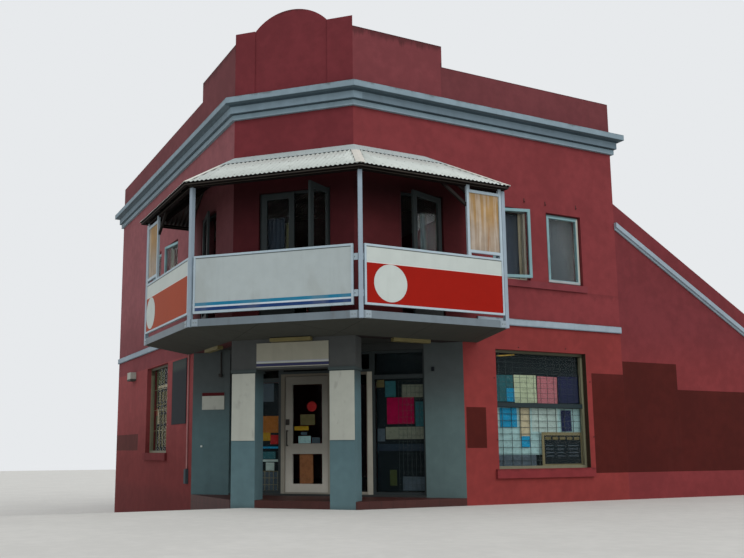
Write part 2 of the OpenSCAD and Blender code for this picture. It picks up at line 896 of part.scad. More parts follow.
module entry_frame() {
    color("gainsboro") on_shopfront() difference() {
        block([entry_l, reveal, shop_floor_z], [entry_r, reveal + frame_d, entry_head_z]);
        block([entry_l + jamb_w, reveal - cut, shop_floor_z + threshold_h],
            [leaf_r + leaf_gap, reveal + frame_d + cut, entry_head_z - entry_head_h]);
        block([side_l, reveal - cut, shop_floor_z + frame_w],
            [entry_r - side_stile_w, reveal + frame_d + cut, entry_head_z - frame_w]);
    }
}

module entry_glass() {
    color("lightblue") on_shopfront()
        pane(side_l, entry_r - side_stile_w, shop_floor_z + frame_w,
            entry_head_z - frame_w, glass_y);
}

// Three barrels share the leaf's height.
module entry_hinges() {
    step = (leaf_top_z - leaf_z - 4 * barrel_h) / 2;
    color("silver") on_shopfront() for (i = [0:2])
        translate([leaf_r + leaf_gap / 2, reveal + frame_d + barrel_gap + barrel_r,
            leaf_z + 1.5 * barrel_h + i * step])
            cylinder(r = barrel_r, h = barrel_h, $fn = 32);
}

pane_l = leaf_l + lock_stile_w;
pane_r = leaf_r - hinge_stile_w;

module door_leaf() {
    color("gainsboro") on_shopfront() difference() {
        block([leaf_l, leaf_y, leaf_z], [leaf_r, leaf_y + leaf_t, leaf_top_z]);
        block([pane_l, leaf_y - cut, mid_rail_top_z],
            [pane_r, leaf_y + leaf_t + cut, leaf_top_z - top_rail]);
        block([pane_l, leaf_y - cut, leaf_z + bottom_rail],
            [pane_r, leaf_y + leaf_t + cut, mid_rail_z]);
    }
}

module door_glass() {
    y = leaf_y + leaf_t / 2;
    color("lightblue") on_shopfront() {
        pane(pane_l, pane_r, mid_rail_top_z, leaf_top_z - top_rail, y);
        pane(pane_l, pane_r, leaf_z + bottom_rail, mid_rail_z, y);
    }
}

// A lock case and a pull below it, on the leaf's street face.
module door_handle() {
    x = leaf_l + lock_stile_w / 3;
    y = leaf_y - seat;
    color("dimgray") on_shopfront() {
        block([x - lock_w / 2, y - lock_t, lock_z], [x + lock_w / 2, y, lock_z + lock_h]);
        for (z = [pull_z, pull_z + pull_len - pull_w])
            block([x - pull_w / 2, y - pull_off, z], [x + pull_w / 2, y, z + pull_w]);
        block([x - pull_w / 2, y - pull_off - pull_w, pull_z],
            [x + pull_w / 2, y - pull_off, pull_z + pull_len]);
    }
}

// The two shop windows in the street walls; the right one has a transom.
module shop_windows() {
    r0 = chamfer + shop_r_s;
    l0 = chamfer + shop_l_s;
    color("darkslategray") {
        frame(r0, r0 + shop_r_w, shop_r_z, shop_head_z, reveal, frame_d, frame_w);
        block([r0 + frame_w, reveal, shop_bar_z],
            [r0 + shop_r_w - frame_w, reveal + frame_d, shop_bar_z + shop_bar_h]);
        left_side()
            frame(l0, l0 + shop_l_w, shop_l_z, shop_l_head_z, reveal, frame_d, frame_w);
    }
}

module shop_window_glass() {
    r0 = chamfer + shop_r_s + frame_w;
    r1 = chamfer + shop_r_s + shop_r_w - frame_w;
    l0 = chamfer + shop_l_s + frame_w;
    l1 = chamfer + shop_l_s + shop_l_w - frame_w;
    color("lightblue") {
        pane(r0, r1, shop_r_z + frame_w, shop_bar_z, glass_y);
        pane(r0, r1, shop_bar_z + shop_bar_h, shop_head_z - frame_w, glass_y);
        left_side() pane(l0, l1, shop_l_z + frame_w, shop_l_head_z - frame_w, glass_y);
    }
}

module upper_windows() {
    module one(x, y) {
        frame(x, x + upper_w, upper_sill_z, upper_head_z, y, frame_d, frame_w);
    }
    color("slategray") {
        for (s = upper_r_s) one(chamfer + s, reveal);
        left_side() for (s = upper_l_s) one(chamfer + s, reveal);
        for (x = upper_rear_s) one(x, y_end - reveal - frame_d);
    }
}

sash_z = upper_sill_z + frame_w - lap;
sash_top_z = upper_head_z - frame_w + lap;
sash_len = upper_w - 2 * frame_w + lap;

// The street sashes hang at the side nearer the chamfer.
module upper_sashes() {
    module row(list, open) {
        for (i = [0, 1]) hung(chamfer + list[i] + frame_w, open[i], reveal)
            glazed_leaf(sash_len, sash_z, sash_top_z, sash_w, sash_w);
    }
    color("slategray") {
        row(upper_r_s, upper_r_open);
        left_side() row(upper_l_s, upper_l_open);
    }
}

door_z = upper_floor_z + frame_w - lap;
door_len = balc_door_w - 2 * frame_w + lap;
french_len = french_w / 2 - frame_w - leaf_gap / 2;

// The single doors hang at their far side.
module on_balcony_door(open) {
    translate([chamfer + balc_door_s + balc_door_w - frame_w, 0, 0]) mirror([1, 0, 0])
        hung(0, open, door_reveal) children();
}

module on_french_left() {
    translate([french_l + frame_w, 0, 0]) hung(0, 0, door_reveal) children();
}

module on_french_right() {
    translate([french_r - frame_w, 0, 0]) mirror([1, 0, 0])
        hung(0, french_open, door_reveal) children();
}

// Panes of the upper windows and of the balcony doors.
module upper_glass() {
    module row(list, open) {
        for (i = [0, 1]) hung(chamfer + list[i] + frame_w, open[i], reveal)
            leaf_pane(sash_len, sash_z, sash_top_z, sash_w, sash_w);
    }
    module door(w) {
        leaf_pane(w, door_z, sash_top_z, door_stile, door_bottom);
    }
    color("lightblue") {
        row(upper_r_s, upper_r_open);
        left_side() row(upper_l_s, upper_l_open);
        for (x = upper_rear_s) pane(x + frame_w, x + upper_w - frame_w,
            upper_sill_z + frame_w, upper_head_z - frame_w, y_end - glass_y);
        on_balcony_door(door_r_open) door(door_len);
        left_side() on_balcony_door(door_l_open) door(door_len);
        on_corner() {
            on_french_left() door(french_len);
            on_french_right() door(french_len);
        }
    }
}

module balcony_doors() {
    module one(x0, x1) {
        frame(x0, x1, upper_floor_z, upper_head_z, door_reveal, frame_d, frame_w);
    }
    s = chamfer + balc_door_s;
    color("darkslategray") {
        both_sides() one(s, s + balc_door_w);
        on_corner() one(french_l + seat, french_r - seat);
    }
}

module balcony_door_leaves() {
    module leaf(w) {
        glazed_leaf(w, door_z, sash_top_z, door_stile, door_bottom);
    }
    color("darkslategray") {
        on_balcony_door(door_r_open) leaf(door_len);
        left_side() on_balcony_door(door_l_open) leaf(door_len);
        on_corner() {
            on_french_left() leaf(french_len);
            on_french_right() leaf(french_len);
        }
    }
}

// A post stands at each end and at each corner of the balcony, grown by g.
module post_set(z0, z1, g) {
    side = post_w + 2 * g;
    module post() {
        translate([-side / 2, -side / 2, z0]) cube([side, side, z1 - z0]);
    }
    both_sides() {
        translate([chamfer + balc_reach - post_w / 2, -post_off, 0]) post();
        translate([chamfer - mitre * post_off, -post_off, 0]) rotate([0, 0, -22.5]) post();
    }
}

// The deck's lining slopes up from the walls to the fascia.
module balcony_deck() {
    edge = balc_p - fascia_t - seat;
    color("slategray") difference() {
        intersection() {
            round_corner([[0, soffit_z], [edge, fascia_z], [edge, deck_z]]);
            storey(band_plan(edge, balc_reach - fascia_t - seat), 0, far);
        }
        post_set(fascia_z - far, deck_z + cut, seat);
    }
}

// Steel edge of the balcony with splice plates beside the posts. The posts stand
// in gaps of the edge, and at the corners their outer faces show.
module balcony_fascia() {
    z1 = deck_z + fascia_up;
    module plate(x) {
        block([x, -balc_p - splice_t, fascia_z + cut],
            [x + splice_w, -balc_p + fascia_t / 2, z1 - cut]);
    }
    corner_x = half_ch + mitre * balc_p - post_w;
    color("lightsteelblue") difference() {
        union() {
            difference() {
                storey(band_plan(balc_p, balc_reach), fascia_z, z1);
                storey(band_plan(balc_p - fascia_t, balc_reach - fascia_t, cut),
                    fascia_z - cut, z1 + cut);
            }
            both_sides() {
                plate(chamfer + balc_reach - post_w - splice_w - seat);
                plate(chamfer - mitre * balc_p + post_w);
            }
            on_corner() {
                plate(corner_x - splice_w);
                plate(-corner_x);
            }
        }
        post_set(fascia_z - cut, z1 + cut, seat);
        both_sides() translate([chamfer - mitre * post_off, -post_off, 0])
            rotate([0, 0, -22.5]) block([-post_w / 2, -post_w, 0], [post_w / 2, 0, far]);
    }
}

module balcony_posts() {
    color("lightsteelblue") post_set(fascia_z, post_top_z, 0);
}

// Two lugs on one side of a board's frame, from x0 to x1.
module lugs(x0, x1) {
    for (up = lug_up) block([x0, -post_off - lug_t / 2, sign_z + up - lug_h / 2],
        [x1, -post_off + lug_t / 2, sign_z + up + lug_h / 2]);
}

corner_board_l = -sign_half - sign_shift;
corner_board_r = sign_half - sign_shift;
corner_post_x = half_ch + mitre * post_off - post_side(lug_t / 2) - seat;
screen_l = chamfer + sign_r - screen_w;
screen_r = chamfer + sign_r;

// Frames of the sign boards and of the screens, held to the posts by lugs.
module balcony_rails() {
    y = -balc_p;
    module side() {
        x0 = chamfer + sign_l;
        x1 = chamfer + sign_r;
        frame(x0, x1, sign_z, sign_top_z, y, rail_d, rail_w);
        lugs(x0 - sign_gap + seat, x0 + rail_w / 2);
        lugs(x1 - rail_w / 2, x1 + sign_end_gap - seat);
        frame(screen_l, screen_r, screen_z, screen_top_z, y, rail_d, screen_frame_w);
        for (x = [screen_l, screen_r - stub_w]) {
            block([x, y, sign_top_z - rail_w / 2], [x + stub_w, y + rail_d,
                screen_z + screen_frame_w / 2]);
            block([x, y, screen_top_z - screen_frame_w / 2], [x + stub_w, y + rail_d,
                post_top_z + beam_h / 2]);
        }
    }
    color("lightsteelblue") difference() {
        union() {
            both_sides() side();
            on_corner() {
                frame(corner_board_l, corner_board_r, sign_z, sign_top_z, y, rail_d, rail_w);
                lugs(-corner_post_x, corner_board_l + rail_w / 2);
                lugs(corner_board_r - rail_w / 2, corner_post_x);
            }
        }
        eave_beam(seat);
    }
}

module screen_sheets() {
    y = -balc_p + rail_d / 2;
    inner = screen_frame_w + seat;
    color("tan") both_sides()
        block([screen_l + inner, y, screen_z + inner],
            [screen_r - inner, y + screen_t, screen_top_z - inner]);
}

// A sign board lies in its frame, a little behind the frame's front.
module board(x0, x1) {
    inner = rail_w + seat;
    y = -balc_p + sign_t / 2;
    block([x0 + inner, y, sign_z + inner], [x1 - inner, y + sign_t, sign_top_z - inner]);
}

module sign_board_corner() {
    color("linen") on_corner() board(corner_board_l, corner_board_r);
}

module sign_boards_side() {
    color("orangered") both_sides() board(chamfer + sign_l, chamfer + sign_r);
}

// All that lies under the verandah's roof planes, raised by lift.
module under_roof(lift, past) {
    low = eave_z - 3 * sheet_t - past;
    round_all([[roof_p + past, low], [roof_p + past, eave_z + lift - past * roof_slope],
        [0, roof_wall_z + lift]], eave_reach - roof_p, eave_reach - roof_p);
}

// The roof has a hip at each chamfer corner and one at each end.
module verandah_roof() {
    color("whitesmoke") difference() {
        under_roof(0, 0);
        under_roof(-sheet_t, cut);
        building_mass(0, far);
    }
}

// Strips along the walls and cappings on the four hips.
module roof_flashings() {
    reach = eave_reach - roof_p;
    module hip_strip(turn) {
        rotate([0, 0, turn]) block([-hip_cap_w, -2 * roof_p, 0], [hip_cap_w, 0, far]);
    }
    color("lightsteelblue") difference() {
        intersection() {
            under_roof(seat + flashing_t, 0);
            union() {
                storey(band_plan(apron_w, reach + apron_w), 0, far);
                both_sides() {
                    translate([chamfer, 0, 0]) hip_strip(-22.5);
                    translate([chamfer + reach, 0, 0]) hip_strip(45);
                }
            }
        }
        under_roof(seat, cut);
        building_mass(0, far);
    }
}

module eave_beam(g) {
    difference() {
        storey(band_plan(post_off + beam_w / 2 + g, balc_reach), post_top_z - g,
            beam_top_z + g);
        storey(band_plan(post_off - beam_w / 2 - g, balc_reach - beam_w, cut),
            post_top_z - 2 * cut, beam_top_z + 2 * cut);
    }
}

// The beam on the posts, the eave batten, a plate on the walls and the rafters.
module verandah_frame() {
    tail = roof_p - rafter_w / 2;
    reach = eave_reach - roof_p;
    function top(q) = sheet_under(q) - seat;
    module rafter(drop) {
        knee = post_off + beam_w / 2;
        translate([-rafter_w / 2, 0, -drop]) rotate([90, 0, 90]) linear_extrude(rafter_w)
            polygon([[-seat, top(seat)], [-seat, top(seat) - rafter_h],
                [-knee, top(knee) - rafter_h], [-tail, top(tail) - eave_batten_h],
                [-tail, top(tail)]]);
    }
    module row(x0, x1) {
        n = ceil((x1 - x0) / rafter_step);
        for (i = [0:n]) translate([x0 + (x1 - x0) * i / n, 0, 0]) rafter(0);
    }
    color("slategray") {
        eave_beam(0);
        both_sides() knee_brace();
        difference() {
            storey(band_plan(tail, eave_reach - rafter_w / 2), top(tail) - eave_batten_h, top(tail));
            storey(band_plan(tail - rafter_w, eave_reach - 1.5 * rafter_w, cut),
                top(tail) - eave_batten_h - cut, top(tail) + cut);
        }
        difference() {
            union() {
                storey(band_plan(rafter_w, reach), top(rafter_w) - rafter_h, top(rafter_w));
                both_sides() {
                    row(chamfer + rafter_w, chamfer + reach - rafter_w / 2);
                    translate([chamfer, 0, 0]) rotate([0, 0, -22.5]) rafter(hip_drop(22.5));
                    translate([chamfer + reach, 0, 0]) rotate([0, 0, 45]) rafter(hip_drop(45));
                }
            }
            building_mass(0, far);
        }
        on_corner() row(-half_ch + rafter_w, half_ch - rafter_w);
    }
}

// A brace from the beam down to the inner stile of a screen.
module knee_brace() {
    lean = atan2(brace_drop, brace_run);
    foot = brace_d / cos(lean) / 2;
    x1 = screen_l - seat;
    function along(drop) = x1 - (drop + rafter_bite) / tan(lean);
    translate([0, -post_off + brace_t / 2, post_top_z]) rotate([90, 0, 0])
        linear_extrude(brace_t) polygon([[x1, foot - brace_drop],
            [along(brace_drop - foot), rafter_bite], [along(brace_drop + foot), rafter_bite],
            [x1, -foot - brace_drop]]);
}

// How far a hip rafter's sides would stand above the roof planes beside it.
function hip_drop(turn) = rafter_w / 2 * sin(turn) * roof_slope;

module name_board() {
    y = -seat - board_t;
    color("linen") on_corner()
        block([name_l, y, name_z], [name_l + name_len, y + board_t, name_z + name_h]);
}

// Boards on the columns, the panel, lamp and conduit on the left wall, the notice
// plate on the left pier and a small box on the right one.
module wall_fittings() {
    y = -seat - board_t;
    col_board_l = col_in + col_board_in;
    color("gainsboro") {
        on_corner() for (side = [0, 1]) mirror([side, 0, 0])
            block([col_board_l, y, col_board_z],
                [col_board_l + col_w - 2 * col_board_in, -seat, col_board_z + col_board_h]);
        left_side() {
            block([chamfer + panel_s, -board_t, panel_z],
                [chamfer + panel_s + panel_w, 0, panel_z + panel_h]);
            block([chamfer + lamp_s, -lamp_p, lamp_z],
                [chamfer + lamp_s + lamp_w, 0, lamp_z + lamp_h]);
            translate([chamfer + conduit_s, -conduit_r, conduit_z])
                cylinder(r = conduit_r, h = soffit_z - conduit_z, $fn = 32);
            block([chamfer + conduit_s - guard_w / 2, -guard_w / 2, conduit_z],
                [chamfer + conduit_s + guard_w / 2, 0, conduit_z + guard_h]);
        }
        on_shopfront() {
            block([notice_x, y, notice_z], [notice_x + notice_w, -seat, notice_z + notice_h]);
            block([half_shop - box_in - box_w, -seat - box_d, box_z],
                [half_shop - box_in, -seat, box_z + box_h]);
        }
    }
}

// Batten lamps under the upper walls and on the beam over the porch.
module light_battens() {
    z = soffit_z - light_h;
    color("khaki") {
        both_sides() block([chamfer + light_s, 0, z],
            [chamfer + light_s + light_len, light_w, soffit_z]);
        on_corner() block([-light_len / 2, -seat - light_w, z],
            [light_len / 2, -seat, soffit_z - seat]);
    }
}

module wing_street_wall() {
    color("firebrick") translate([0, wall_t, 0]) rotate([90, 0, 0]) linear_extrude(wall_t)
        polygon([[x_end, -footing], [x_wing, -footing], [x_wing, rake_low_z],
            [x_end, rake_high_z]]);
}

module wing_back_walls() {
    inner = x_wing - wall_t;
    color("firebrick") {
        translate([0, wing_depth, 0]) rotate([90, 0, 0]) linear_extrude(wall_t)
            polygon([[x_end, -footing], [x_wing, -footing], [x_wing, wing_low_z],
                [x_end, wing_high_z]]);
        translate([0, wing_depth - wall_t, 0]) rotate([90, 0, 0])
            linear_extrude(wing_depth - 2 * wall_t)
            polygon([[inner, -footing], [x_wing, -footing], [x_wing, wing_low_z],
                [inner, wing_low_z + wall_t * rake_slope]]);
    }
}

// The wing's roof falls away from the main block, behind its street parapet.
module wing_roof() {
    end = x_wing + roof_over;
    end_z = wing_low_z - rake_slope * roof_over;
    color("gainsboro") translate([0, wing_depth + roof_over, 0]) rotate([90, 0, 0])
        linear_extrude(wing_depth + roof_over - wall_t)
        polygon([[x_end, wing_high_z + seat], [end, end_z + seat], [end, end_z + roof_t],
            [x_end, wing_high_z + roof_t]]);
}

// A square gutter hangs at the rear of the main roof and at the wing's end, each
// with a pipe down to the ground.
module gutters() {
    module gutter(len) {
        difference() {
            block([0, 0, -gutter_h], [len, gutter_w, 0]);
            block([gutter_t, gutter_t, gutter_t - gutter_h], [len - gutter_t,
                gutter_w - gutter_t, cut]);
        }
    }
    module pipe(x, y, z) {
        translate([x, y, -footing]) cylinder(r = pipe_r, h = z + footing, $fn = 32);
    }
    rear = y_end + roof_over;
    rear_z = roof_under(rear) + roof_t - gutter_t;
    end = x_wing + roof_over;
    end_z = wing_low_z - rake_slope * roof_over + roof_t - gutter_t;
    reach = roof_over + pipe_r;
    color("lightslategray") {
        translate([wall_t, rear + seat, rear_z]) gutter(x_end - 2 * wall_t);
        pipe(x_end - 2 * wall_t, rear + gutter_w / 2, rear_z - gutter_h + gutter_t / 2);
        block([x_end - 2 * wall_t - pipe_r / 2, y_end, rear_z - 3 * gutter_h],
            [x_end - 2 * wall_t + pipe_r / 2, y_end + reach, rear_z - 3 * gutter_h + pipe_r]);
        translate([end + seat + gutter_w, wall_t, end_z]) rotate([0, 0, 90])
            gutter(wing_depth + roof_over - wall_t);
        pipe(end + gutter_w / 2, wing_depth - wall_t, end_z - gutter_h + gutter_t / 2);
        block([x_wing, wing_depth - wall_t - pipe_r / 2, end_z - 3 * gutter_h],
            [x_wing + reach, wing_depth - wall_t + pipe_r / 2, end_z - 3 * gutter_h + pipe_r]);
    }
}

placed() right_wall_ground();
placed() left_wall_ground();
placed() end_wall();
placed() rear_wall();
placed() right_wall_upper();
placed() left_wall_upper();
placed() corner_wall_upper();
placed() parapet_right();
placed() parapet_left();
placed() parapet_corner();
placed() cornice();
placed() string_course();
placed() window_sills();
placed() main_roof();
placed() shop_floor();
placed() upper_floor();
placed() porch_base();
placed() corner_columns();
placed() corner_beam();
placed() shopfront_pier_right();
placed() shopfront_pier_left();
placed() shopfront_header();
placed() shopfront_windows();
placed() shopfront_glass();
placed() entry_frame();
placed() entry_glass();
placed() entry_hinges();
placed() door_leaf();
placed() door_glass();
placed() door_handle();
placed() shop_windows();
placed() shop_window_glass();
placed() upper_windows();
placed() upper_sashes();
placed() upper_glass();
placed() balcony_doors();
placed() balcony_door_leaves();
placed() balcony_deck();
placed() balcony_fascia();
placed() balcony_posts();
placed() balcony_rails();
placed() screen_sheets();
placed() verandah_roof();
placed() verandah_frame();
placed() roof_flashings();
placed() sign_board_corner();
placed() sign_boards_side();
placed() name_board();
placed() wall_fittings();
placed() light_battens();
placed() wing_street_wall();
placed() wing_back_walls();
placed() wing_roof();
placed() gutters();
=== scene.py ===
"""Looks of the corner shop building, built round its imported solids.

All places are in metres. A face frame has X along the wall, Y into the building
and Z up from the footpath at the corner. On the two streets X runs away from the
corner, and on the chamfer and the shopfront it runs to the right.
"""

from __future__ import annotations

import json
import logging
import math
from dataclasses import dataclass, field, replace
from enum import Enum
from typing import Sequence

import bmesh
import bpy
from mathutils import Matrix, Vector

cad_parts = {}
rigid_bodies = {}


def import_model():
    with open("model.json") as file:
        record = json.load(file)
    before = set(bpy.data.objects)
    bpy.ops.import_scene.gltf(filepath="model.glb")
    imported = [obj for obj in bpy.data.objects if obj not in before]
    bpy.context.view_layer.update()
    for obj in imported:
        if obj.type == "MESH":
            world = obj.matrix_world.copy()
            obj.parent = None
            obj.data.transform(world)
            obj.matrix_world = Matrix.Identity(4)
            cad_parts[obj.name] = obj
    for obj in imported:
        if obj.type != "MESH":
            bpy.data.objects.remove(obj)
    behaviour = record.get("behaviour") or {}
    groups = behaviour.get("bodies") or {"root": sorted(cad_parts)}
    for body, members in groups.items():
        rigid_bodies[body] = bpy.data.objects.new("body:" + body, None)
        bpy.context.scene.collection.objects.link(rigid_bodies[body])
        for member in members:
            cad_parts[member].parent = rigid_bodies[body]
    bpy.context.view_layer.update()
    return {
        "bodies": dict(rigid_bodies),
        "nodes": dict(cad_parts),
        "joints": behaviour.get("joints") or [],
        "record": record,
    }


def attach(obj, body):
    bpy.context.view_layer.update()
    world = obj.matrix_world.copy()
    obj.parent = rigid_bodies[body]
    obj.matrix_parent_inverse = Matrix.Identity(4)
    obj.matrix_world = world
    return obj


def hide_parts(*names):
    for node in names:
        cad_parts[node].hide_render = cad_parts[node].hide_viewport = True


LOG = logging.getLogger("corner_shop")

# A colour is six hex digits as seen, or red, green and blue in linear light.
Colour = str | tuple[float, float, float]
Span = tuple[float, float]
Socket = bpy.types.NodeSocket
Node = bpy.types.Node
BMesh = bmesh.types.BMesh

ROOT2 = math.sqrt(2.0)
MITRE = ROOT2 - 1.0
# The corner of the two street faces at footpath level, in the row frame.
STREET_ZERO = Vector((-1.44607, -0.27227, 0.620))
# How much of each street face the chamfer takes, and the shopfront behind it.
CHAMFER = 1.485
SHOP_CUT = CHAMFER + 2.015
# Pitch of the corrugated roofing.
CORRUGATION = 0.076
# Lays a bar or disc that stands on Z along a face's Y.
FACING = Matrix.Rotation(math.pi / 2, 4, "X")
# The range of a patch that has no limit along an axis.
EVERYWHERE = (-50.0, 50.0)


class Face(Enum):
    """A plane of the building that pieces are laid out on."""

    RIGHT = "right"
    LEFT = "left"
    CORNER = "corner"
    SHOPFRONT = "shopfront"
    STREET = "street"

    def matrix(self) -> Matrix:
        """Where the face frame lies.

        Returns:
            The matrix from the face's own frame to the row frame.
        """
        base = Matrix.Translation(STREET_ZERO)
        if self is Face.STREET:
            return base
        if self in (Face.CORNER, Face.SHOPFRONT):
            middle = (CHAMFER if self is Face.CORNER else SHOP_CUT) / 2
            turn = Matrix.Rotation(-math.pi / 4, 4, "Z")
            return base @ Matrix.Translation((middle, middle, 0)) @ turn
        if self is Face.LEFT:
            base = base @ Matrix(((0, 1, 0, 0), (1, 0, 0, 0), (0, 0, 1, 0), (0, 0, 0, 1)))
        return base @ Matrix.Translation((CHAMFER, 0, 0))


RIGHT, LEFT, CORNER, SHOPFRONT, STREET = Face


def rgb(text: str) -> Colour:
    """Colour in linear light of six hex digits."""
    parts = [int(text[i : i + 2], 16) / 255 for i in (0, 2, 4)]
    return tuple(c / 12.92 if c < 0.04045 else ((c + 0.055) / 1.055) ** 2.4 for c in parts)


@dataclass
class Tree:
    """Short calls that lay out one node tree."""

    tree: bpy.types.NodeTree
    made: dict[object, object] = field(default_factory=dict)

    def feed(self, node: Node, values: dict[str | int, object]) -> None:
        """Links or sets inputs of a node.

        Args:
            node: The node.
            values: A socket to link or a plain value for each input.
        """
        for name, value in values.items():
            target = node.inputs[name]
            if isinstance(value, Socket):
                self.tree.links.new(value, target)
            elif target.type == "RGBA":
                target.default_value = (*(rgb(value) if isinstance(value, str) else value), 1.0)
            else:
                target.default_value = value

    def node(self, kind: str, inputs: dict[str | int, object] | None = None, **values: object) -> Node:
        """Adds a node.

        Args:
            kind: Blender's name of the node type.
            inputs: What its inputs are fed with.
            values: Attributes of the node.

        Returns:
            The node.
        """
        made = self.tree.nodes.new(kind)
        for name, value in values.items():
            setattr(made, name, value)
        self.feed(made, inputs or {})
        return made

    def place(self) -> Socket:
        """Object coordinates, one node for the whole tree."""
        if "place" not in self.made:
            self.made["place"] = self.node("ShaderNodeTexCoord")
        return self.made["place"].outputs["Object"]

    def axis(self, name: str) -> Socket:
        """One of X, Y and Z of the object coordinates."""
        if "axes" not in self.made:
            self.made["axes"] = self.node("ShaderNodeSeparateXYZ", {0: self.place()})
        return self.made["axes"].outputs[name]

    def on(self, face: Face) -> list[Socket]:
        """X, Y and Z in a face's own frame."""
        if face not in self.made:
            self.made[face] = []
            for row in face.matrix().inverted()[:3]:
                inputs = {0: self.place(), 1: tuple(row[:3])}
                dot = self.node("ShaderNodeVectorMath", inputs, operation="DOT_PRODUCT")
                self.made[face].append(self.maths("ADD", dot.outputs["Value"], row[3]))
        return self.made[face]

    def maths(self, kind: str, a: object, b: object = 0.0, clamp: bool = False) -> Socket:
        """Result of an operation on one or two values or sockets."""
        return self.node("ShaderNodeMath", {0: a, 1: b}, operation=kind, use_clamp=clamp).outputs[0]

    def add(self, a: object, b: object) -> Socket:
        """One value plus another."""
        return self.maths("ADD", a, b)

    def times(self, a: object, b: object) -> Socket:
        """One value times another."""
        return self.maths("MULTIPLY", a, b)

    def stretch(self, x: float, y: float, z: float) -> Socket:
        """Object coordinates scaled along each axis."""
        return self.node("ShaderNodeMapping", {0: self.place(), "Scale": (x, y, z)}).outputs[0]

    def noise(
        self, scale: float, detail: float, at: Socket | None = None, rough: float = 0.55
    ) -> Socket:
        """Cloud noise from 0 to 1, on object coordinates unless others are given."""
        inputs = {"Vector": at or self.place(), "Scale": scale, "Detail": detail, "Roughness": rough}
        return self.node("ShaderNodeTexNoise", inputs).outputs["Fac"]

    def between(self, value: object, low: float, high: float, out: Span = (0.0, 1.0)) -> Socket:
        """Maps the range from low to high smoothly onto another, held at its ends."""
        inputs = dict(enumerate((value, low, high, *out)))
        return self.node("ShaderNodeMapRange", inputs, interpolation_type="SMOOTHSTEP").outputs[0]

    def window(self, value: object, low: float, high: float, soft: float) -> Socket:
        """Mask that is 1 inside a range and 0 outside it, with soft edges."""
        down = self.between(value, high - soft / 2, high + soft / 2, (1.0, 0.0))
        return self.times(self.between(value, low - soft / 2, low + soft / 2), down)

    def mix(self, share: object, a: object, b: object) -> Socket:
        """Lays a share of the second colour over the first."""
        return self.node("ShaderNodeMix", {0: share, 6: a, 7: b}, data_type="RGBA").outputs[2]

    def group(self, name: str, **inputs: object) -> Node:
        """Places a shared group and feeds its named inputs."""
        return self.node("ShaderNodeGroup", inputs, node_tree=bpy.data.node_groups[name])


def new_group(
    name: str, outputs: dict[str, str], inputs: dict[str, object] | None = None
) -> tuple[Tree, Node, Node]:
    """Starts a shared node group.

    Args:
        name: Its name.
        outputs: Socket type of each output.
        inputs: Default of each input, a number or a colour with alpha.

    Returns:
        Its tree, its input node and its output node.
    """
    group = bpy.data.node_groups.new(name, "ShaderNodeTree")
    for label, default in (inputs or {}).items():
        kind = "NodeSocketColor" if isinstance(default, tuple) else "NodeSocketFloat"
        socket = group.interface.new_socket(name=label, in_out="INPUT", socket_type=kind)
        socket.default_value = default
    for label, kind in outputs.items():
        group.interface.new_socket(name=label, in_out="OUTPUT", socket_type=kind)
    tree = Tree(group)
    return tree, tree.node("NodeGroupInput"), tree.node("NodeGroupOutput")


def weathering_group() -> None:
    """Clouds of lighter and darker paint, run-down stains and specks of grime."""
    tree, enter, leave = new_group(
        "weathering",
        {"Color": "NodeSocketColor", "Mask": "NodeSocketFloat"},
        {"Color": (0.5, 0.5, 0.5, 1.0), "Dirt": (0.1, 0.09, 0.08, 1.0), "Clouds": 0.2, "Streaks": 0.3},
    )
    given = enter.outputs
    clouds = tree.add(tree.noise(0.9, 5), tree.noise(6.0, 4))
    shade = tree.times(tree.between(clouds, 0.75, 1.3, (-1.0, 1.0)), given["Clouds"])
    lit = tree.node("ShaderNodeHueSaturation", {"Value": tree.add(shade, 1.0), "Color": given["Color"]})
    runs = tree.between(tree.noise(1.0, 6, tree.stretch(7.0, 7.0, 0.35), 0.65), 0.5, 0.78)
    specks = tree.between(tree.noise(38.0, 2), 0.62, 0.8)
    mask = tree.maths("MULTIPLY", tree.add(runs, tree.times(specks, 0.5)), given["Streaks"], True)
    tree.feed(leave, {"Color": tree.mix(mask, lit.outputs[0], given["Dirt"]), "Mask": mask})


def trowelled(tree: Tree) -> Socket:
    """Trowelled render: soft waves, float marks and a fine grain."""
    waves = tree.times(tree.noise(2.2, 3), 0.9)
    marks = tree.times(tree.noise(14.0, 4, tree.stretch(1.0, 1.0, 2.5)), 0.35)
    return tree.add(tree.add(waves, marks), tree.times(tree.noise(160.0, 2), 0.14))


def brushed(tree: Tree) -> Socket:
    """Brushed paint over metal or board."""
    brush = tree.noise(30.0, 3, tree.stretch(1.0, 1.0, 0.15))
    return tree.add(brush, tree.times(tree.noise(8.0, 3), 0.6))


def timber_grain(tree: Tree) -> Socket:
    """Sawn timber under old paint, its grain upright."""
    fibres = tree.noise(1.0, 5, tree.stretch(70.0, 70.0, 3.0), 0.65)
    return tree.add(fibres, tree.times(tree.noise(5.0, 2), 0.3))


def woven(tree: Tree) -> Socket:
    """Plain weave of 2.5 mm threads."""
    threads: object = 0.0
    for axis in "XYZ":
        wave = tree.maths("SINE", tree.times(tree.axis(axis), 2 * math.pi / 0.0025))
        threads = tree.add(threads, wave)
    return tree.add(threads, tree.noise(12.0, 3))


def make_groups() -> None:
    """Builds the effects that several finishes share."""
    weathering_group()
    for effect in (trowelled, brushed, timber_grain, woven):
        tree, _, leave = new_group(effect.__name__, {"Height": "NodeSocketFloat"})
        tree.feed(leave, {"Height": effect(tree)})


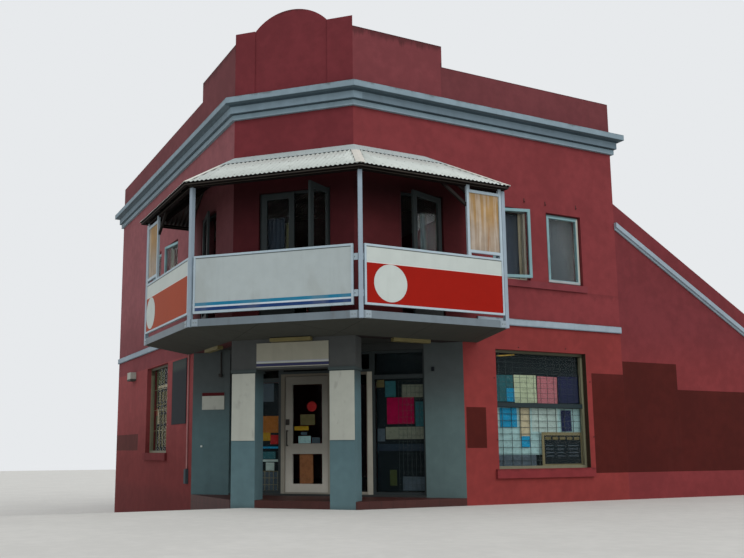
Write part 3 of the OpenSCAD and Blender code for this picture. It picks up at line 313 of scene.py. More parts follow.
class Texture(Enum):
    """What a finish feels like: a shared group, or the axis that corrugations cross."""

    RENDER = "trowelled"
    PAINT = "brushed"
    GRAIN = "timber_grain"
    CLOTH = "woven"
    SHEETS_X = "X"
    SHEETS_Y = "Y"

    def height(self, tree: Tree) -> Socket:
        """The height that the bump reads in a material's tree."""
        if len(self.value) > 1:
            return tree.group(self.value).outputs["Height"]
        return tree.maths("SINE", tree.times(tree.axis(self.value), 2 * math.pi / CORRUGATION))


@dataclass(frozen=True)
class Layer:
    """Another colour that lies over part of a finish."""

    colour: Colour

    def mask(self, tree: Tree) -> Socket:
        """Where the colour lies, from 0 to 1."""
        raise NotImplementedError

    def over(self, tree: Tree, colour: object) -> Socket:
        """Lays it over a colour."""
        return tree.mix(self.mask(tree), colour, self.colour)


@dataclass(frozen=True)
class Patch(Layer):
    """A rectangle of another paint on a face."""

    x: Span = EVERYWHERE
    z: Span = EVERYWHERE
    face: Face = STREET
    share: float = 1.0
    soft: float = 0.004

    def mask(self, tree: Tree) -> Socket:
        """Where the rectangle lies."""
        place = tree.on(self.face)
        mask = tree.window(place[2], *self.z, self.soft)
        if self.x != EVERYWHERE:
            mask = tree.times(mask, tree.window(place[0], *self.x, self.soft))
        return tree.times(mask, self.share)


@dataclass(frozen=True)
class Fade(Layer):
    """A colour that comes in from one height to another."""

    start: float
    full: float
    share: float = 1.0

    def mask(self, tree: Tree) -> Socket:
        """How far the colour has come in."""
        wavy = tree.add(tree.on(STREET)[2], tree.times(tree.noise(1.5, 3), 0.15))
        ends = (0.0, self.share) if self.full > self.start else (self.share, 0.0)
        return tree.between(wavy, *sorted((self.start, self.full)), ends)


@dataclass(frozen=True)
class Runs(Layer):
    """Stains that run down from a level edge."""

    top: float
    reach: float
    share: float = 0.7
    width: float = 5.0

    def mask(self, tree: Tree) -> Socket:
        """Where the stains lie."""
        height = tree.on(STREET)[2]
        at = tree.stretch(self.width, self.width, 0.4)
        ragged = tree.times(tree.noise(1.0, 5, at, 0.7), 2 * self.reach)
        edge = tree.maths("SUBTRACT", self.top + self.reach * 0.45, ragged)
        below = tree.maths("SUBTRACT", height, edge)
        mask = tree.between(below, 0.0, self.reach * 0.5, (0.0, self.share))
        return tree.times(mask, tree.between(height, self.top, self.top + 0.004, (1.0, 0.0)))


@dataclass(frozen=True)
class Blotches(Layer):
    """Clouds of another colour."""

    scale: tuple[float, float, float]
    low: float
    high: float
    share: float

    def mask(self, tree: Tree) -> Socket:
        """Where the clouds are thick."""
        clouds = tree.noise(1.0, 4, tree.stretch(*self.scale))
        return tree.between(clouds, self.low, self.high, (0.0, self.share))


@dataclass(frozen=True)
class Joints(Layer):
    """Thin lines at a regular spacing along the face's axes."""

    pitch: tuple[float, float, float]
    width: float
    face: Face = STREET
    share: float = 0.8

    def mask(self, tree: Tree) -> Socket:
        """Where the lines lie."""
        mask: object = 0.0
        for axis, pitch in zip(tree.on(self.face), self.pitch):
            if pitch:
                step = tree.maths("FRACT", tree.maths("DIVIDE", axis, pitch))
                line = tree.maths("LESS_THAN", step, self.width / pitch)
                mask = tree.maths("MAXIMUM", mask, line)
        return tree.times(mask, self.share)


@dataclass(frozen=True)
class Underside(Layer):
    """Another colour on faces that look down, painted as the shade under a thing."""

    def mask(self, tree: Tree) -> Socket:
        """Where the faces look down."""
        normal = tree.node("ShaderNodeNewGeometry").outputs["Normal"]
        height = tree.node("ShaderNodeSeparateXYZ", {0: normal}).outputs["Z"]
        return tree.between(height, -0.2, 0.2, (1.0, 0.0))


@dataclass(frozen=True)
class Surface:
    """A material that is laid out from procedural nodes."""

    name: str

    def lay_out(self, tree: Tree, shader: Node) -> None:
        """Feeds the shader."""
        raise NotImplementedError

    def build(self) -> bpy.types.Material:
        """Lays out the material once and returns it after that.

        Returns:
            The material.
        """
        made = bpy.data.materials.get(f"{self.name}_look")
        if not made:
            made = bpy.data.materials.new(f"{self.name}_look")
            made.use_nodes = True
            self.lay_out(Tree(made.node_tree), made.node_tree.nodes["Principled BSDF"])
        return made


@dataclass(frozen=True)
class Finish(Surface):
    """A solid surface under paint, dirt and wear."""

    colour: Colour
    layers: tuple[Layer, ...] = ()
    dirt: Colour = "2a2422"
    clouds: float = 0.18
    streaks: float = 0.25
    roughness: float = 0.8
    metallic: float = 0.0
    gloss: float = 0.25
    relief: float = 0.25
    depth: float = 0.004
    texture: Texture = Texture.RENDER
    dirt_roughness: float = 0.15

    def lay_out(self, tree: Tree, shader: Node) -> None:
        """Feeds the shader with the layers, the wear and the bump.

        Args:
            tree: The material's tree.
            shader: Its Principled BSDF.
        """
        base: object = self.colour
        for layer in self.layers:
            base = layer.over(tree, base)
        wear = {"Dirt": self.dirt, "Clouds": self.clouds, "Streaks": self.streaks}
        worn = tree.group("weathering", Color=base, **wear).outputs
        rough = (self.roughness, min(1.0, self.roughness + self.dirt_roughness))
        bump = {"Strength": self.relief, "Distance": self.depth, "Height": self.texture.height(tree)}
        tree.feed(shader, {
            "Base Color": worn["Color"],
            "Roughness": tree.between(worn["Mask"], 0.0, 1.0, rough),
            "Metallic": self.metallic,
            "Specular IOR Level": self.gloss,
            "Normal": tree.node("ShaderNodeBump", bump).outputs[0],
        })


@dataclass(frozen=True)
class RedRender(Finish):
    """Painted render of the red walls."""

    dirt: Colour = "3a3430"
    clouds: float = 0.1
    streaks: float = 0.07
    roughness: float = 0.85
    gloss: float = 0.12


@dataclass(frozen=True)
class BlueRender(Finish):
    """Painted render of the blue-grey columns, beams and mouldings."""

    clouds: float = 0.08
    streaks: float = 0.1
    roughness: float = 0.75
    gloss: float = 0.2


@dataclass(frozen=True)
class Paint(Finish):
    """Brushed paint over metal or board."""

    clouds: float = 0.05
    streaks: float = 0.1
    roughness: float = 0.5
    texture: Texture = Texture.PAINT


@dataclass(frozen=True)
class Timber(Finish):
    """Sawn timber under old paint."""

    clouds: float = 0.08
    streaks: float = 0.1
    texture: Texture = Texture.GRAIN


@dataclass(frozen=True)
class Cloth(Finish):
    """Woven curtain cloth."""

    clouds: float = 0.08
    streaks: float = 0.05
    roughness: float = 0.9
    gloss: float = 0.1
    relief: float = 0.3
    depth: float = 0.0005
    texture: Texture = Texture.CLOTH


@dataclass(frozen=True)
class Glazing(Surface):
    """Clear or dusty window glass."""

    tint: Colour = "b8c4c4"
    film: Colour = "8d8a82"
    dust: float = 0.04
    dust_roughness: float = 0.3
    clearness: float = 0.97
    body: float = 0.03
    gloss: float = 0.12
    refraction: float = 1.45

    def lay_out(self, tree: Tree, shader: Node) -> None:
        """Feeds the shader with a thin uneven film over clear glass.

        Args:
            tree: The material's tree.
            shader: Its Principled BSDF.
        """
        film = tree.between(tree.noise(2.0, 3), 0.35, 0.75)
        tree.feed(shader, {
            "Base Color": tree.mix(tree.times(film, self.dust), self.tint, self.film),
            "Roughness": tree.between(film, 0.0, 1.0, (0.0, self.dust_roughness * self.dust)),
            "Transmission Weight": self.clearness,
            "IOR": self.refraction,
            "Specular IOR Level": self.gloss,
            "Alpha": self.body,
        })


def add_object(name: str, data: bpy.types.ID) -> bpy.types.Object:
    """Adds a mesh, camera or lamp to the scene as an object of a given name."""
    bpy.context.scene.collection.objects.link(made := bpy.data.objects.new(name, data))
    return made


def piece(
    name: str, mesh: BMesh, finish: Surface, place: Matrix,
    body: str = "building", smooth: bool = False,
) -> bpy.types.Object:
    """Turns a finished bmesh into a piece that rides on a body.

    Args:
        name: The piece's name.
        mesh: Its shape in the place's own frame; it is freed here.
        finish: Its finish.
        place: Matrix from that frame to the row frame.
        body: The CAD body it rides on.
        smooth: Whether its faces are shaded smooth.

    Returns:
        The object, at the origin with its place in its mesh.
    """
    bmesh.ops.transform(mesh, matrix=place, verts=mesh.verts)
    if place.determinant() < 0:
        bmesh.ops.reverse_faces(mesh, faces=mesh.faces)
    data = bpy.data.meshes.new(name)
    mesh.to_mesh(data)
    mesh.free()
    data.shade_smooth() if smooth else data.shade_flat()
    made = add_object(name, data)
    data.materials.append(finish.build())
    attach(made, body)
    LOG.info("piece %s", name)
    return made


def add_box(
    mesh: BMesh, low: Sequence[float], high: Sequence[float],
    bevel: float = 0.0, place: Matrix | None = None,
) -> list[bmesh.types.BMVert]:
    """Adds a box with softened edges.

    Args:
        mesh: The mesh it goes into.
        low: Its lowest corner.
        high: Its highest corner.
        bevel: Width of the softened edges.
        place: A matrix for it, if it is turned.

    Returns:
        Its vertices before the bevel.
    """
    size = Vector(high) - Vector(low)
    matrix = Matrix.Translation((Vector(high) + Vector(low)) / 2) @ Matrix.Diagonal((*size, 1.0))
    made = bmesh.ops.create_cube(mesh, size=1.0, matrix=matrix if place is None else place @ matrix)
    verts = made["verts"]
    if bevel:
        edges = {e for v in verts for e in v.link_edges}
        bmesh.ops.bevel(
            mesh, geom=list(edges), offset=bevel, affect="EDGES", segments=2, profile=0.5, material=-1
        )
    return verts


def add_bar(
    mesh: BMesh, at: Matrix, radius: float, long: float, segments: int, taper: float = 1.0
) -> None:
    """Adds a closed round or many-sided bar.

    Args:
        mesh: The mesh it goes into.
        at: Its middle, with Z along it.
        radius: Its radius at the low end.
        long: Its length.
        segments: Its number of sides.
        taper: The high end's share of the radius.
    """
    bmesh.ops.create_cone(
        mesh, cap_ends=True, segments=segments, radius1=radius, radius2=radius * taper,
        depth=long, matrix=at,
    )


def add_stud(mesh: BMesh, at: Matrix, radius: float, high: float) -> None:
    """Adds a low hexagon head whose foot is at a place, with Z away from the surface."""
    add_bar(mesh, at @ Matrix.Translation((0, 0, high / 2)), radius, high, segments=6, taper=0.85)


def face_up(mesh: BMesh) -> None:
    """Turns an open sheet's faces upwards."""
    bmesh.ops.recalc_face_normals(mesh, faces=mesh.faces)
    if sum(f.normal.z for f in mesh.faces) < 0:
        bmesh.ops.reverse_faces(mesh, faces=mesh.faces)


def draw_out(mesh: BMesh, row: Sequence[Sequence[float]], way: Sequence[float]) -> None:
    """Adds a row of points and draws it out into a sheet.

    Args:
        mesh: The mesh it goes into.
        row: The points.
        way: How far and where they are drawn.
    """
    verts = [mesh.verts.new(point) for point in row]
    edges = [mesh.edges.new(pair) for pair in zip(verts, verts[1:])]
    made = bmesh.ops.extrude_edge_only(mesh, edges=edges)["geom"]
    moved = [v for v in made if isinstance(v, bmesh.types.BMVert)]
    bmesh.ops.translate(mesh, verts=moved, vec=way)


# Colours that come back in several finishes.
SOOT = "1d1614"
GRIME = "3a3430"
DEEP_RED = "43150f"
# A darker band on the walls under the balcony deck.
UNDER_DECK_DARK = "2c302f"
WALL_SHADE = "2a1013"
# Painted shade high on the walls under the verandah's roof.
DEEP_SHADE = "0c0507"


def coping(top: float, reach: float, share: float) -> tuple[Layer, ...]:
    """Stains of a given reach and darkness that run down from a parapet's top."""
    cap = Patch(SOOT, z=(top - 0.02, top + 1.0), share=share * 0.7, soft=0.02)
    return Runs(SOOT, top, reach, share), cap


# Coats that lie on more than one node or piece.
RED_UPPER = RedRender("red_render_upper", "74353a")
# The piers darken towards the top as painted shade under the balcony.
PIER_PAINT = BlueRender(
    "shopfront_paint", "4f6669", clouds=0.07,
    layers=(Patch("5a6c6b", (1.8, 2.6), face=SHOPFRONT, share=0.8), Fade("454a4a", 1.2, 2.3, 0.95)),
)
ROOF = Finish(
    "roof_sheet", "b9bcb8", clouds=0.08, streaks=0.2, roughness=0.55, relief=1.0, depth=0.009,
    texture=Texture.SHEETS_X,
)
BEAM_PAINT = BlueRender("beam_paint", "434544")
RUST_SPOTS = Blotches("6f6a66", (4.0, 4.0, 1.5), 0.62, 0.72, 0.4)
POSTS = Paint("post_paint", "909fab", (RUST_SPOTS,), streaks=0.16, gloss=0.3)
# Its faces that look down are painted dark as the shade under the roof.
SHEETS = Paint(
    "verandah_sheet", "c5cac4",
    (Blotches("8b8a80", (5.0, 5.0, 1.2), 0.60, 0.72, 0.5), Underside("2b2422")),
    streaks=0.14, roughness=0.45, gloss=0.4,
)
FLASHING = Paint(
    "zinc_flashing", "adb9b8", (Patch("d9d5ca", z=(5.0, 5.545), share=0.9, soft=0.02),),
    streaks=0.16, roughness=0.45, gloss=0.4,
)
DARK_TIMBER = Timber("dark_timber", "2b3233", streaks=0.08, roughness=0.6)
FITTINGS = Paint("dark_fittings", "24211e", clouds=0.1, streaks=0.05, roughness=0.4, metallic=0.5)
# A dark strip in the roof's valleys under each apron, painted shade.
VALLEY_SHADE = Paint("valley_shade_strip", "1c2426", streaks=0.05, roughness=0.8, gloss=0.1)
DISC_PAINT = Paint("disc_paint", "bcc3be", clouds=0.03, streaks=0.08, gloss=0.06)
# Dark boards behind the rear windows, painted shade inside the rooms.
REAR_SHADE_BOARDS = Timber("rear_boards", "4c4740", roughness=0.7, gloss=0.1)
OLIVE_FRAME = Timber("olive_frame", "6b6548")
SCREWS = Paint("roof_screws", "7c807c", clouds=0.1, roughness=0.4, metallic=0.4)
RUSTY = Paint("rusty_fixings", "4a2220", clouds=0.1, roughness=0.7)
MESH_STEEL = Paint("mesh_steel", "22302f", streaks=0.05)
GUARD_STEEL = Paint("guard_steel", "7f7a55")
GLASS = Glazing("clear_glass")

# The steel edge's splice plates, by where each starts along its face.
PLATES = {RIGHT: (-0.287, 2.1547), LEFT: (-0.287, 2.1547), CORNER: (-1.3371, 1.2371)}
PLATE_PATCHES = tuple(
    Patch("8f9ca4", (start - 0.01, start + 0.10), (2.78, 2.91), face)
    for face, starts in PLATES.items() for start in starts
)

NODE_LOOKS: dict[str, Surface] = {
    **dict.fromkeys(("end_wall", "rear_wall", "wing_back_walls"), RED_UPPER),
    **dict.fromkeys(("shopfront_pier_right", "shopfront_pier_left"), PIER_PAINT),
    **dict.fromkeys(("shopfront_windows", "balcony_doors", "balcony_door_leaves"), DARK_TIMBER),
    **dict.fromkeys(("shopfront_glass", "entry_glass", "door_glass", "shop_window_glass"), GLASS),
    **dict.fromkeys(("entry_hinges", "door_handle"), FITTINGS),
    **dict.fromkeys(("roof_flashings", "gutters"), FLASHING),
    "right_wall_ground": RedRender("red_render_ground", "843533", (
        Patch(DEEP_RED, (2.05, 2.445), (0.917, 1.582), RIGHT, 0.92),
        Patch(DEEP_RED, (4.78, 5.535), (0.476, 2.23), RIGHT, 0.92),
        Patch("6b2c2f", z=(2.2, 3.2), share=0.25, soft=0.8),
        Patch("2f2c20", (4.654, 4.668), (0.575, 2.572), RIGHT, 0.95),
    )),
    "left_wall_ground": RedRender("red_render_left", "8a4243", (
        Fade("6c2c2b", 2.3, 0.5, 0.85), Patch("4a2a26", (5.93, 9.0), (0.90, 1.26), LEFT, 0.8),
        Patch("5a2a2a", z=(-2.0, 0.15), share=0.4, soft=0.3),
    )),
    "right_wall_upper": RedRender("red_render_upper_right", "7a3437", (
        Patch("7f3332", (-2.0, 6.0), (2.4, 3.04), RIGHT),
        Patch(UNDER_DECK_DARK, (-2.0, 2.01), (2.4, 2.80), RIGHT),
        Patch(WALL_SHADE, (-0.4, 2.2), (2.4, 5.4), RIGHT, 0.5, 0.5),
        Patch(DEEP_SHADE, (-1.0, 1.95), (4.70, 5.45), RIGHT, 0.75, 0.8), Runs("4a2022", 3.68, 0.2, 0.3),
    )),
    "left_wall_upper": RedRender("red_render_upper_left", "895256", (
        Patch("864246", (-2.0, 9.0), (2.0, 3.04), LEFT), Patch(UNDER_DECK_DARK, (-2.0, 2.01), (2.4, 2.80), LEFT),
        Patch(WALL_SHADE, (-0.4, 1.9), (2.4, 5.4), LEFT, 0.5, 0.4), Fade("6a3438", 4.6, 3.2, 0.5),
    )),
    # The chamfer's upper wall is darkened as painted shade under the verandah, deepest near its roof.
    "corner_wall_upper": RedRender("red_render_corner", "702e33", (
        Patch("240c0f", z=(2.2, 5.45), share=0.54, soft=0.7),
        Patch(DEEP_SHADE, z=(4.75, 5.45), share=0.65, soft=1.1), Patch(UNDER_DECK_DARK, z=(2.0, 2.80)),
    )),
    "wing_street_wall": RedRender("red_render_wing", "6e2f33", (
        Fade("7a3234", 3.4, 2.2), Patch(DEEP_RED, (5.0, 5.54), (0.476, 2.23), RIGHT, 0.92),
        Patch(DEEP_RED, (5.54, 6.91), (0.476, 2.475), RIGHT, 0.92),
        Patch(DEEP_RED, (6.91, 10.6), (0.476, 1.99), RIGHT, 0.92), *coping(5.5, 0.2, 0.3),
    )),
    "parapet_right": RedRender("red_parapet_right", "763a3e", (
        Patch("5e3235", (1.72, 6.0), (6.5, 7.5), RIGHT, 0.55, 0.02),
        Patch(SOOT, (1.72, 6.0), (7.40, 7.5), RIGHT, 0.3, 0.02), *coping(7.80, 0.26, 0.5),
    )),
    "parapet_left": RedRender("red_parapet_left", "6f3d40", (
        Patch(SOOT, (1.77, 12.0), (7.40, 7.5), LEFT, 0.28, 0.02), *coping(7.80, 0.3, 0.4),
        Fade("5c2c2e", 7.1, 6.8, 0.5),
    )),
    "parapet_corner": RedRender("red_parapet_corner", "6f2f34", (
        *coping(8.28, 0.12, 0.35), Patch(SOOT, z=(6.78, 6.86), share=0.35, soft=0.1),
    )),
    "window_sills": RedRender("red_sills", "7d3033", (
        Runs(SOOT, 0.57, 0.08, 0.3), Patch("632829", (3.0, 6.0), (0.0, 1.2), LEFT, 0.8),
        Patch("75353a", z=(3.5, 3.9)),
    )),
    # Painted shadow lies in the cove under the top band and in the groove over the low band; painted light
    # lies on the left-hand run and on the chamfer's broad band.
    "cornice": BlueRender("blue_grey_trim", "73868f", (
        Patch("677882", z=(6.514, 6.62)), Patch("3a4952", z=(6.632, 6.672), soft=0.02),
        Patch("3a4a54", z=(6.494, 6.516), soft=0.012),
        Patch("8799a3", z=(6.68, 6.78), share=0.7, soft=0.01), Patch("8797a2", z=(6.41, 6.43), share=0.6),
        Runs("4c4a44", 6.80, 0.10, 0.6, 2.5), Patch("98a6ae", (0.0, 9.6), (6.3, 6.9), LEFT, 0.2, 0.05),
        Patch("7d909b", (-1.2, 1.2), (6.516, 6.625), CORNER, 0.9, 0.01),
    ), dirt=GRIME, roughness=0.8),
    # A painted shadow line runs along the course's lower edge.
    "string_course": BlueRender("pale_trim", "94a2ac", (
        Runs(GRIME, 3.11, 0.05, 0.5, 3.0), Patch("5d6b77", z=(2.98, 3.0), share=0.6, soft=0.01),
    ), streaks=0.12, roughness=0.8),
    # The columns' tops darken into dark grey paint, deepened by painted shade under the deck.
    "corner_columns": BlueRender("blue_grey_render", "526b70", (
        Fade("353937", 1.75, 2.35, 0.95), Fade("5a7276", 1.1, 0.3, 0.45),
        Patch("2c3230", z=(-0.7, 0.03), share=0.4, soft=0.1),
    ), clouds=0.07, streaks=0.08),
    "corner_beam": BEAM_PAINT,
    "shopfront_header": replace(BEAM_PAINT, name="header_paint", colour="353736"),
    "name_board": Paint("name_paint", "8a8879", (
        Patch("a3a8a6", z=(2.268, 2.290)), Patch("23264a", z=(2.216, 2.262)),
        Patch("9d9b8e", z=(2.205, 2.212)), Patch("8a8ea4", z=(2.294, 2.300)),
    ), clouds=0.04, roughness=0.55),
    "balcony_posts": POSTS,
    # The rails are a lighter copy of the post paint, painted light on their tops.
    "balcony_rails": replace(POSTS, name="lit_rail_paint", colour="a6b6bf"),
    "balcony_fascia": replace(
        POSTS, name="fascia_paint", colour="6b767d", layers=(RUST_SPOTS, *PLATE_PATCHES),
        clouds=0.07, streaks=0.18,
    ),
    # The deck's dark lining colour is painted shade under the balcony.
    "balcony_deck": Finish(
        "deck_lining", "42433e", (Joints("191816", (1.2, 0.9, 0.0), 0.008),),
        clouds=0.06, streaks=0.08, gloss=0.1,
    ),
    "main_roof": ROOF,
    "wing_roof": replace(ROOF, name="wing_roof_sheet", colour="b4b7b2", texture=Texture.SHEETS_Y),
    "verandah_roof": SHEETS,
    "verandah_frame": Timber("verandah_timber", "1f1a18", (
        # The near-black band just under the sheets' eave is painted shade.
        Patch("46413c", z=(5.048, 5.062), soft=0.003), Patch("0c0b0a", z=(5.064, 5.10)),
        Patch("130c0c", z=(4.99, 5.044), share=0.8, soft=0.003), Patch("2a2725", z=(4.4, 4.98), share=0.6),
    ), clouds=0.12, streaks=0.15, roughness=0.7, gloss=0.06),
    # A dark line under the board's top rail is painted shadow.
    "sign_board_corner": Paint("cream_board", "a9b2b2", (
        Patch("227393", z=(3.108, 3.160)), Patch("c3ccd4", z=(3.082, 3.108)),
        Patch("1d3969", z=(3.030, 3.082)), Patch("4f5657", z=(3.858, 3.91), share=0.85),
        Blotches("8d8f88", (2.0, 2.0, 1.0), 0.5, 0.7, 0.25),
    ), clouds=0.03, gloss=0.06),
    # The left-hand board is painted lighter as more light falls on it, and the dark line under the top rail
    # is painted shadow.
    "sign_boards_side": Paint("red_board", "95180d", (
        Patch("9b3a12", (-1.0, 4.0), (2.5, 4.2), LEFT), Patch("bcc3be", z=(3.630, 3.95)),
        Patch("4c524f", z=(3.858, 3.91), share=0.85), Patch("d9d4cf", z=(3.624, 3.632)),
    ), clouds=0.03, streaks=0.06, roughness=0.45, gloss=0.05),
    "screen_sheets": Cloth("screen_cloth", "998876", (
        Fade("a07d4a", 4.25, 4.75, 0.9), Blotches("8a5f2f", (9.0, 9.0, 1.2), 0.55, 0.7, 0.6),
        Blotches("c0b6ac", (16.0, 16.0, 0.8), 0.5, 0.62, 0.45),
    ), clouds=0.12, streaks=0.15, roughness=0.7, gloss=0.25, relief=0.2, depth=0.0006),
    "shop_floor": Finish("shop_slab", "6a6660", clouds=0.2, streaks=0.1),
    # Its faces that look down are painted dark as shade.
    "upper_floor": Timber("floorboards", "5b4632", (
        Joints("2b2018", (0.11, 0.0, 0.0), 0.003), Underside("2f312e"),
    ), clouds=0.15),
    "porch_base": Paint("porch_tiles", "42201c", (
        Joints("241311", (0.15, 0.15, 0.15), 0.005, CORNER),
    ), clouds=0.12, streaks=0.08, roughness=0.55),
    # Painted shade darkens the frame towards the top, and painted light brightens the right jamb.
    "entry_frame": Paint("entry_paint", "625c50", (
        Fade("9a9587", 1.6, 0.5, 0.8), Patch("b2ad9e", (0.80, 0.95), (0.0, 2.3), SHOPFRONT, 0.9),
    ), clouds=0.06, streaks=0.12, roughness=0.55),
    "door_leaf": Paint("leaf_paint", "858177", (
        Fade("5f5b52", 1.5, 2.1, 0.7), Fade("c4bfb2", 1.2, 0.3, 0.9),
    ), streaks=0.08),
    "shop_windows": Paint("shop_frames", "77765f", (
        Patch("3b3c2c", z=(2.5, 3.0), share=0.8), Patch("15272b", (2.73, 4.62), (1.600, 1.680), RIGHT),
    ), clouds=0.08, streaks=0.12),
    "upper_windows": Paint("outer_frames", "a9a797", (
        # The frames' heads are teal paint darkened by painted shade.
        Patch("4e6265", z=(5.03, 5.2), share=0.8), Patch("6c8a8e", (4.60, 4.75), (3.86, 5.04), RIGHT, 0.9),
    ), clouds=0.08, streaks=0.2, roughness=0.55),
    "upper_sashes": Paint("teal_frames", "7fa2a7", (
        Blotches("5c7a7f", (3.0, 3.0, 2.0), 0.52, 0.66, 0.5),
        Patch("b3ada0", (4.64, 4.75), (3.75, 5.06), RIGHT),
        Patch("a0a5a6", (3.90, 4.75), (3.75, 3.870), RIGHT),
        Patch("a9aca6", (3.88, 3.935), (3.75, 4.50), RIGHT),
        # The sashes' heads are teal paint darkened by painted shade.
        Patch("4e686c", (3.90, 4.66), (5.035, 5.2), RIGHT, 0.7),
    ), clouds=0.06, streaks=0.12),
    "upper_glass": Glazing("upper_glass", body=0.06, gloss=0.3),
    "light_battens": Paint("lamp_covers", "6a613b", clouds=0.1),
    "wall_fittings": Paint("pale_fittings", "a7a99f", (
        Blotches("8a8b84", (6.0, 6.0, 3.0), 0.6, 0.72, 0.5),
        Patch("4b1418", (-2.28, -1.84), (1.865, 1.925), SHOPFRONT),
        Patch("181c20", (1.80, 2.40), (1.90, 2.60), SHOPFRONT),
        Patch("20252a", (2.35, 3.5), (1.35, 2.63), LEFT),
        Patch("414a44", (2.45, 3.28), (2.42, 2.60), LEFT, 0.6, 0.12),
        Patch("a87876", (2.2, 2.3), (0.56, 2.9), LEFT), Patch("3f4b50", (2.0, 2.34), (0.2, 0.57), LEFT),
        Patch("2b2a28", (6.2, 6.6), (2.3, 2.50), LEFT, 0.9, 0.02),
    ), clouds=0.04, streaks=0.08, roughness=0.65, gloss=0.08),
}


@dataclass(frozen=True)
class Slope:
    """One slope of the verandah's roof, in its face's frame."""

    name: str
    place: Matrix
    start: float
    end: float
    left: float
    right: float

    def ends(self, up: float) -> Span:
        """Its ends along the face at a distance in from the eave."""
        return self.start + self.left * up, self.end + self.right * up


@dataclass
class VerandahRoof:
    """Corrugated sheets over the balcony, hipped at both corners and both ends."""

    reach: float = 2.340
    out: float = 0.995
    eave_z: float = 5.095
    wall_z: float = 5.750
    pitch: float = CORRUGATION
    depth: float = 0.017
    steps: int = 8
    thickness: float = 0.001
    screw_rows: tuple[float, ...] = (0.07, 0.43, 0.80)
    screw_radius: float = 0.008
    screw_head: float = 0.004
    screw_margin: float = 0.08
    apron_reach: float = 0.27
    apron_margin: float = 0.02
    # Size of the dark strip that is painted shade under each apron.
    closer_high: float = 0.019
    closer_deep: float = 0.012

    @property
    def rise(self) -> float:
        """How much the slope rises for each metre in."""
        return (self.wall_z - self.eave_z) / self.out

    def slopes(self) -> list[Slope]:
        """The five slopes, the chamfer's first."""
        half = CHAMFER / ROOT2 + MITRE * self.out
        made = [Slope("corner", CORNER.matrix(), -half, half, MITRE, -MITRE)]
        for side in (RIGHT, LEFT):
            made.append(Slope(side.value, side.matrix(), -MITRE * self.out, self.reach, MITRE, -1.0))
            corner = Matrix.Translation((self.reach - self.out, 0, 0))
            turned = side.matrix() @ corner @ Matrix.Rotation(math.pi / 2, 4, "Z")
            made.append(Slope(f"{side.value}_end", turned, -self.out, 0.0, 1.0, 0.0))
        return made

    def sheet(self, slope: Slope) -> BMesh:
        """One slope, cut along the hips at its two sides.

        Args:
            slope: The slope.

        Returns:
            Its mesh, in the face's frame.
        """
        mesh = bmesh.new()
        step = self.pitch / self.steps
        base = self.eave_z - self.depth - self.thickness
        row = []
        for i in range(math.floor(slope.start / step), math.ceil(slope.end / step) + 1):
            crest = 1 + math.cos(2 * math.pi * i / self.steps)
            row.append((i * step, self.thickness - self.out, base + self.depth / 2 * crest))
        draw_out(mesh, row, (0, self.out, self.wall_z - self.eave_z))
        for side, lean, at in ((1, slope.left, slope.start), (-1, slope.right, slope.end)):
            normal = Vector((side, -side * lean, 0)).normalized()
            bmesh.ops.bisect_plane(
                mesh, geom=mesh.verts[:] + mesh.edges[:] + mesh.faces[:], dist=1e-5,
                plane_co=(at, -self.out, 0), plane_no=-normal, clear_outer=True,
            )
        face_up(mesh)
        return mesh

    def apron(self, slope: Slope) -> BMesh:
        """Flat strip over the top of one slope, along the wall.

        Args:
            slope: The slope.

        Returns:
            Its mesh, in the face's frame.
        """
        mesh = bmesh.new()
        low, high = self.out - self.apron_reach, self.out - self.apron_margin
        points = [(x, low) for x in slope.ends(low)] + [(x, high) for x in reversed(slope.ends(high))]
        base = self.eave_z + self.thickness
        mesh.faces.new([mesh.verts.new((x, up - self.out, base + self.rise * up)) for x, up in points])
        face_up(mesh)
        return mesh

    def closer(self, slope: Slope) -> BMesh:
        """Dark strip in the valleys under the apron's lower edge, painted shade there.

        Args:
            slope: The slope.

        Returns:
            Its mesh, in the face's frame.
        """
        mesh = bmesh.new()
        up = self.out - self.apron_reach
        z = self.eave_z + self.rise * up
        y = up - self.out
        left, right = slope.ends(up)
        add_box(mesh, (left, y, z - self.closer_high), (right, y + self.closer_deep, z))
        return mesh

    def screws(self) -> BMesh:
        """Roofing screws on every second crest, in the row frame."""
        mesh = bmesh.new()
        for slope in self.slopes():
            for up in self.screw_rows:
                left, right = slope.ends(up)
                first = math.ceil((left + self.screw_margin) / self.pitch)
                last = math.floor((right - self.screw_margin) / self.pitch)
                z = self.eave_z - self.thickness + self.rise * up
                for i in range(first + first % 2, last + 1, 2):
                    at = Matrix.Translation((i * self.pitch, up - self.out, z))
                    add_stud(mesh, slope.place @ at, self.screw_radius, self.screw_head)
        return mesh

    def build(self) -> None:
        """Builds the sheets and screws and lets the sheets stand for the plain roof."""
        for slope in self.slopes():
            name, place = slope.name, slope.place
            sheet = self.sheet(slope)
            made = piece(f"verandah_sheets_{name}", sheet, SHEETS, place, smooth=True)
            solid = made.modifiers.new("thickness", "SOLIDIFY")
            solid.thickness = self.thickness
            solid.offset = 0.0
            if name == "corner":
                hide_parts("verandah_roof")
            if not name.endswith("_end"):
                # A dark strip under each apron stands in for the shade in the valleys.
                piece(f"verandah_closer_{name}", self.closer(slope), VALLEY_SHADE, place)
                apron = self.apron(slope)
                strip = piece(f"verandah_apron_{name}", apron, FLASHING, place)
                strip.modifiers.new("thickness", "SOLIDIFY").thickness = self.thickness
        piece("verandah_roof_screws", self.screws(), SCREWS, Matrix())


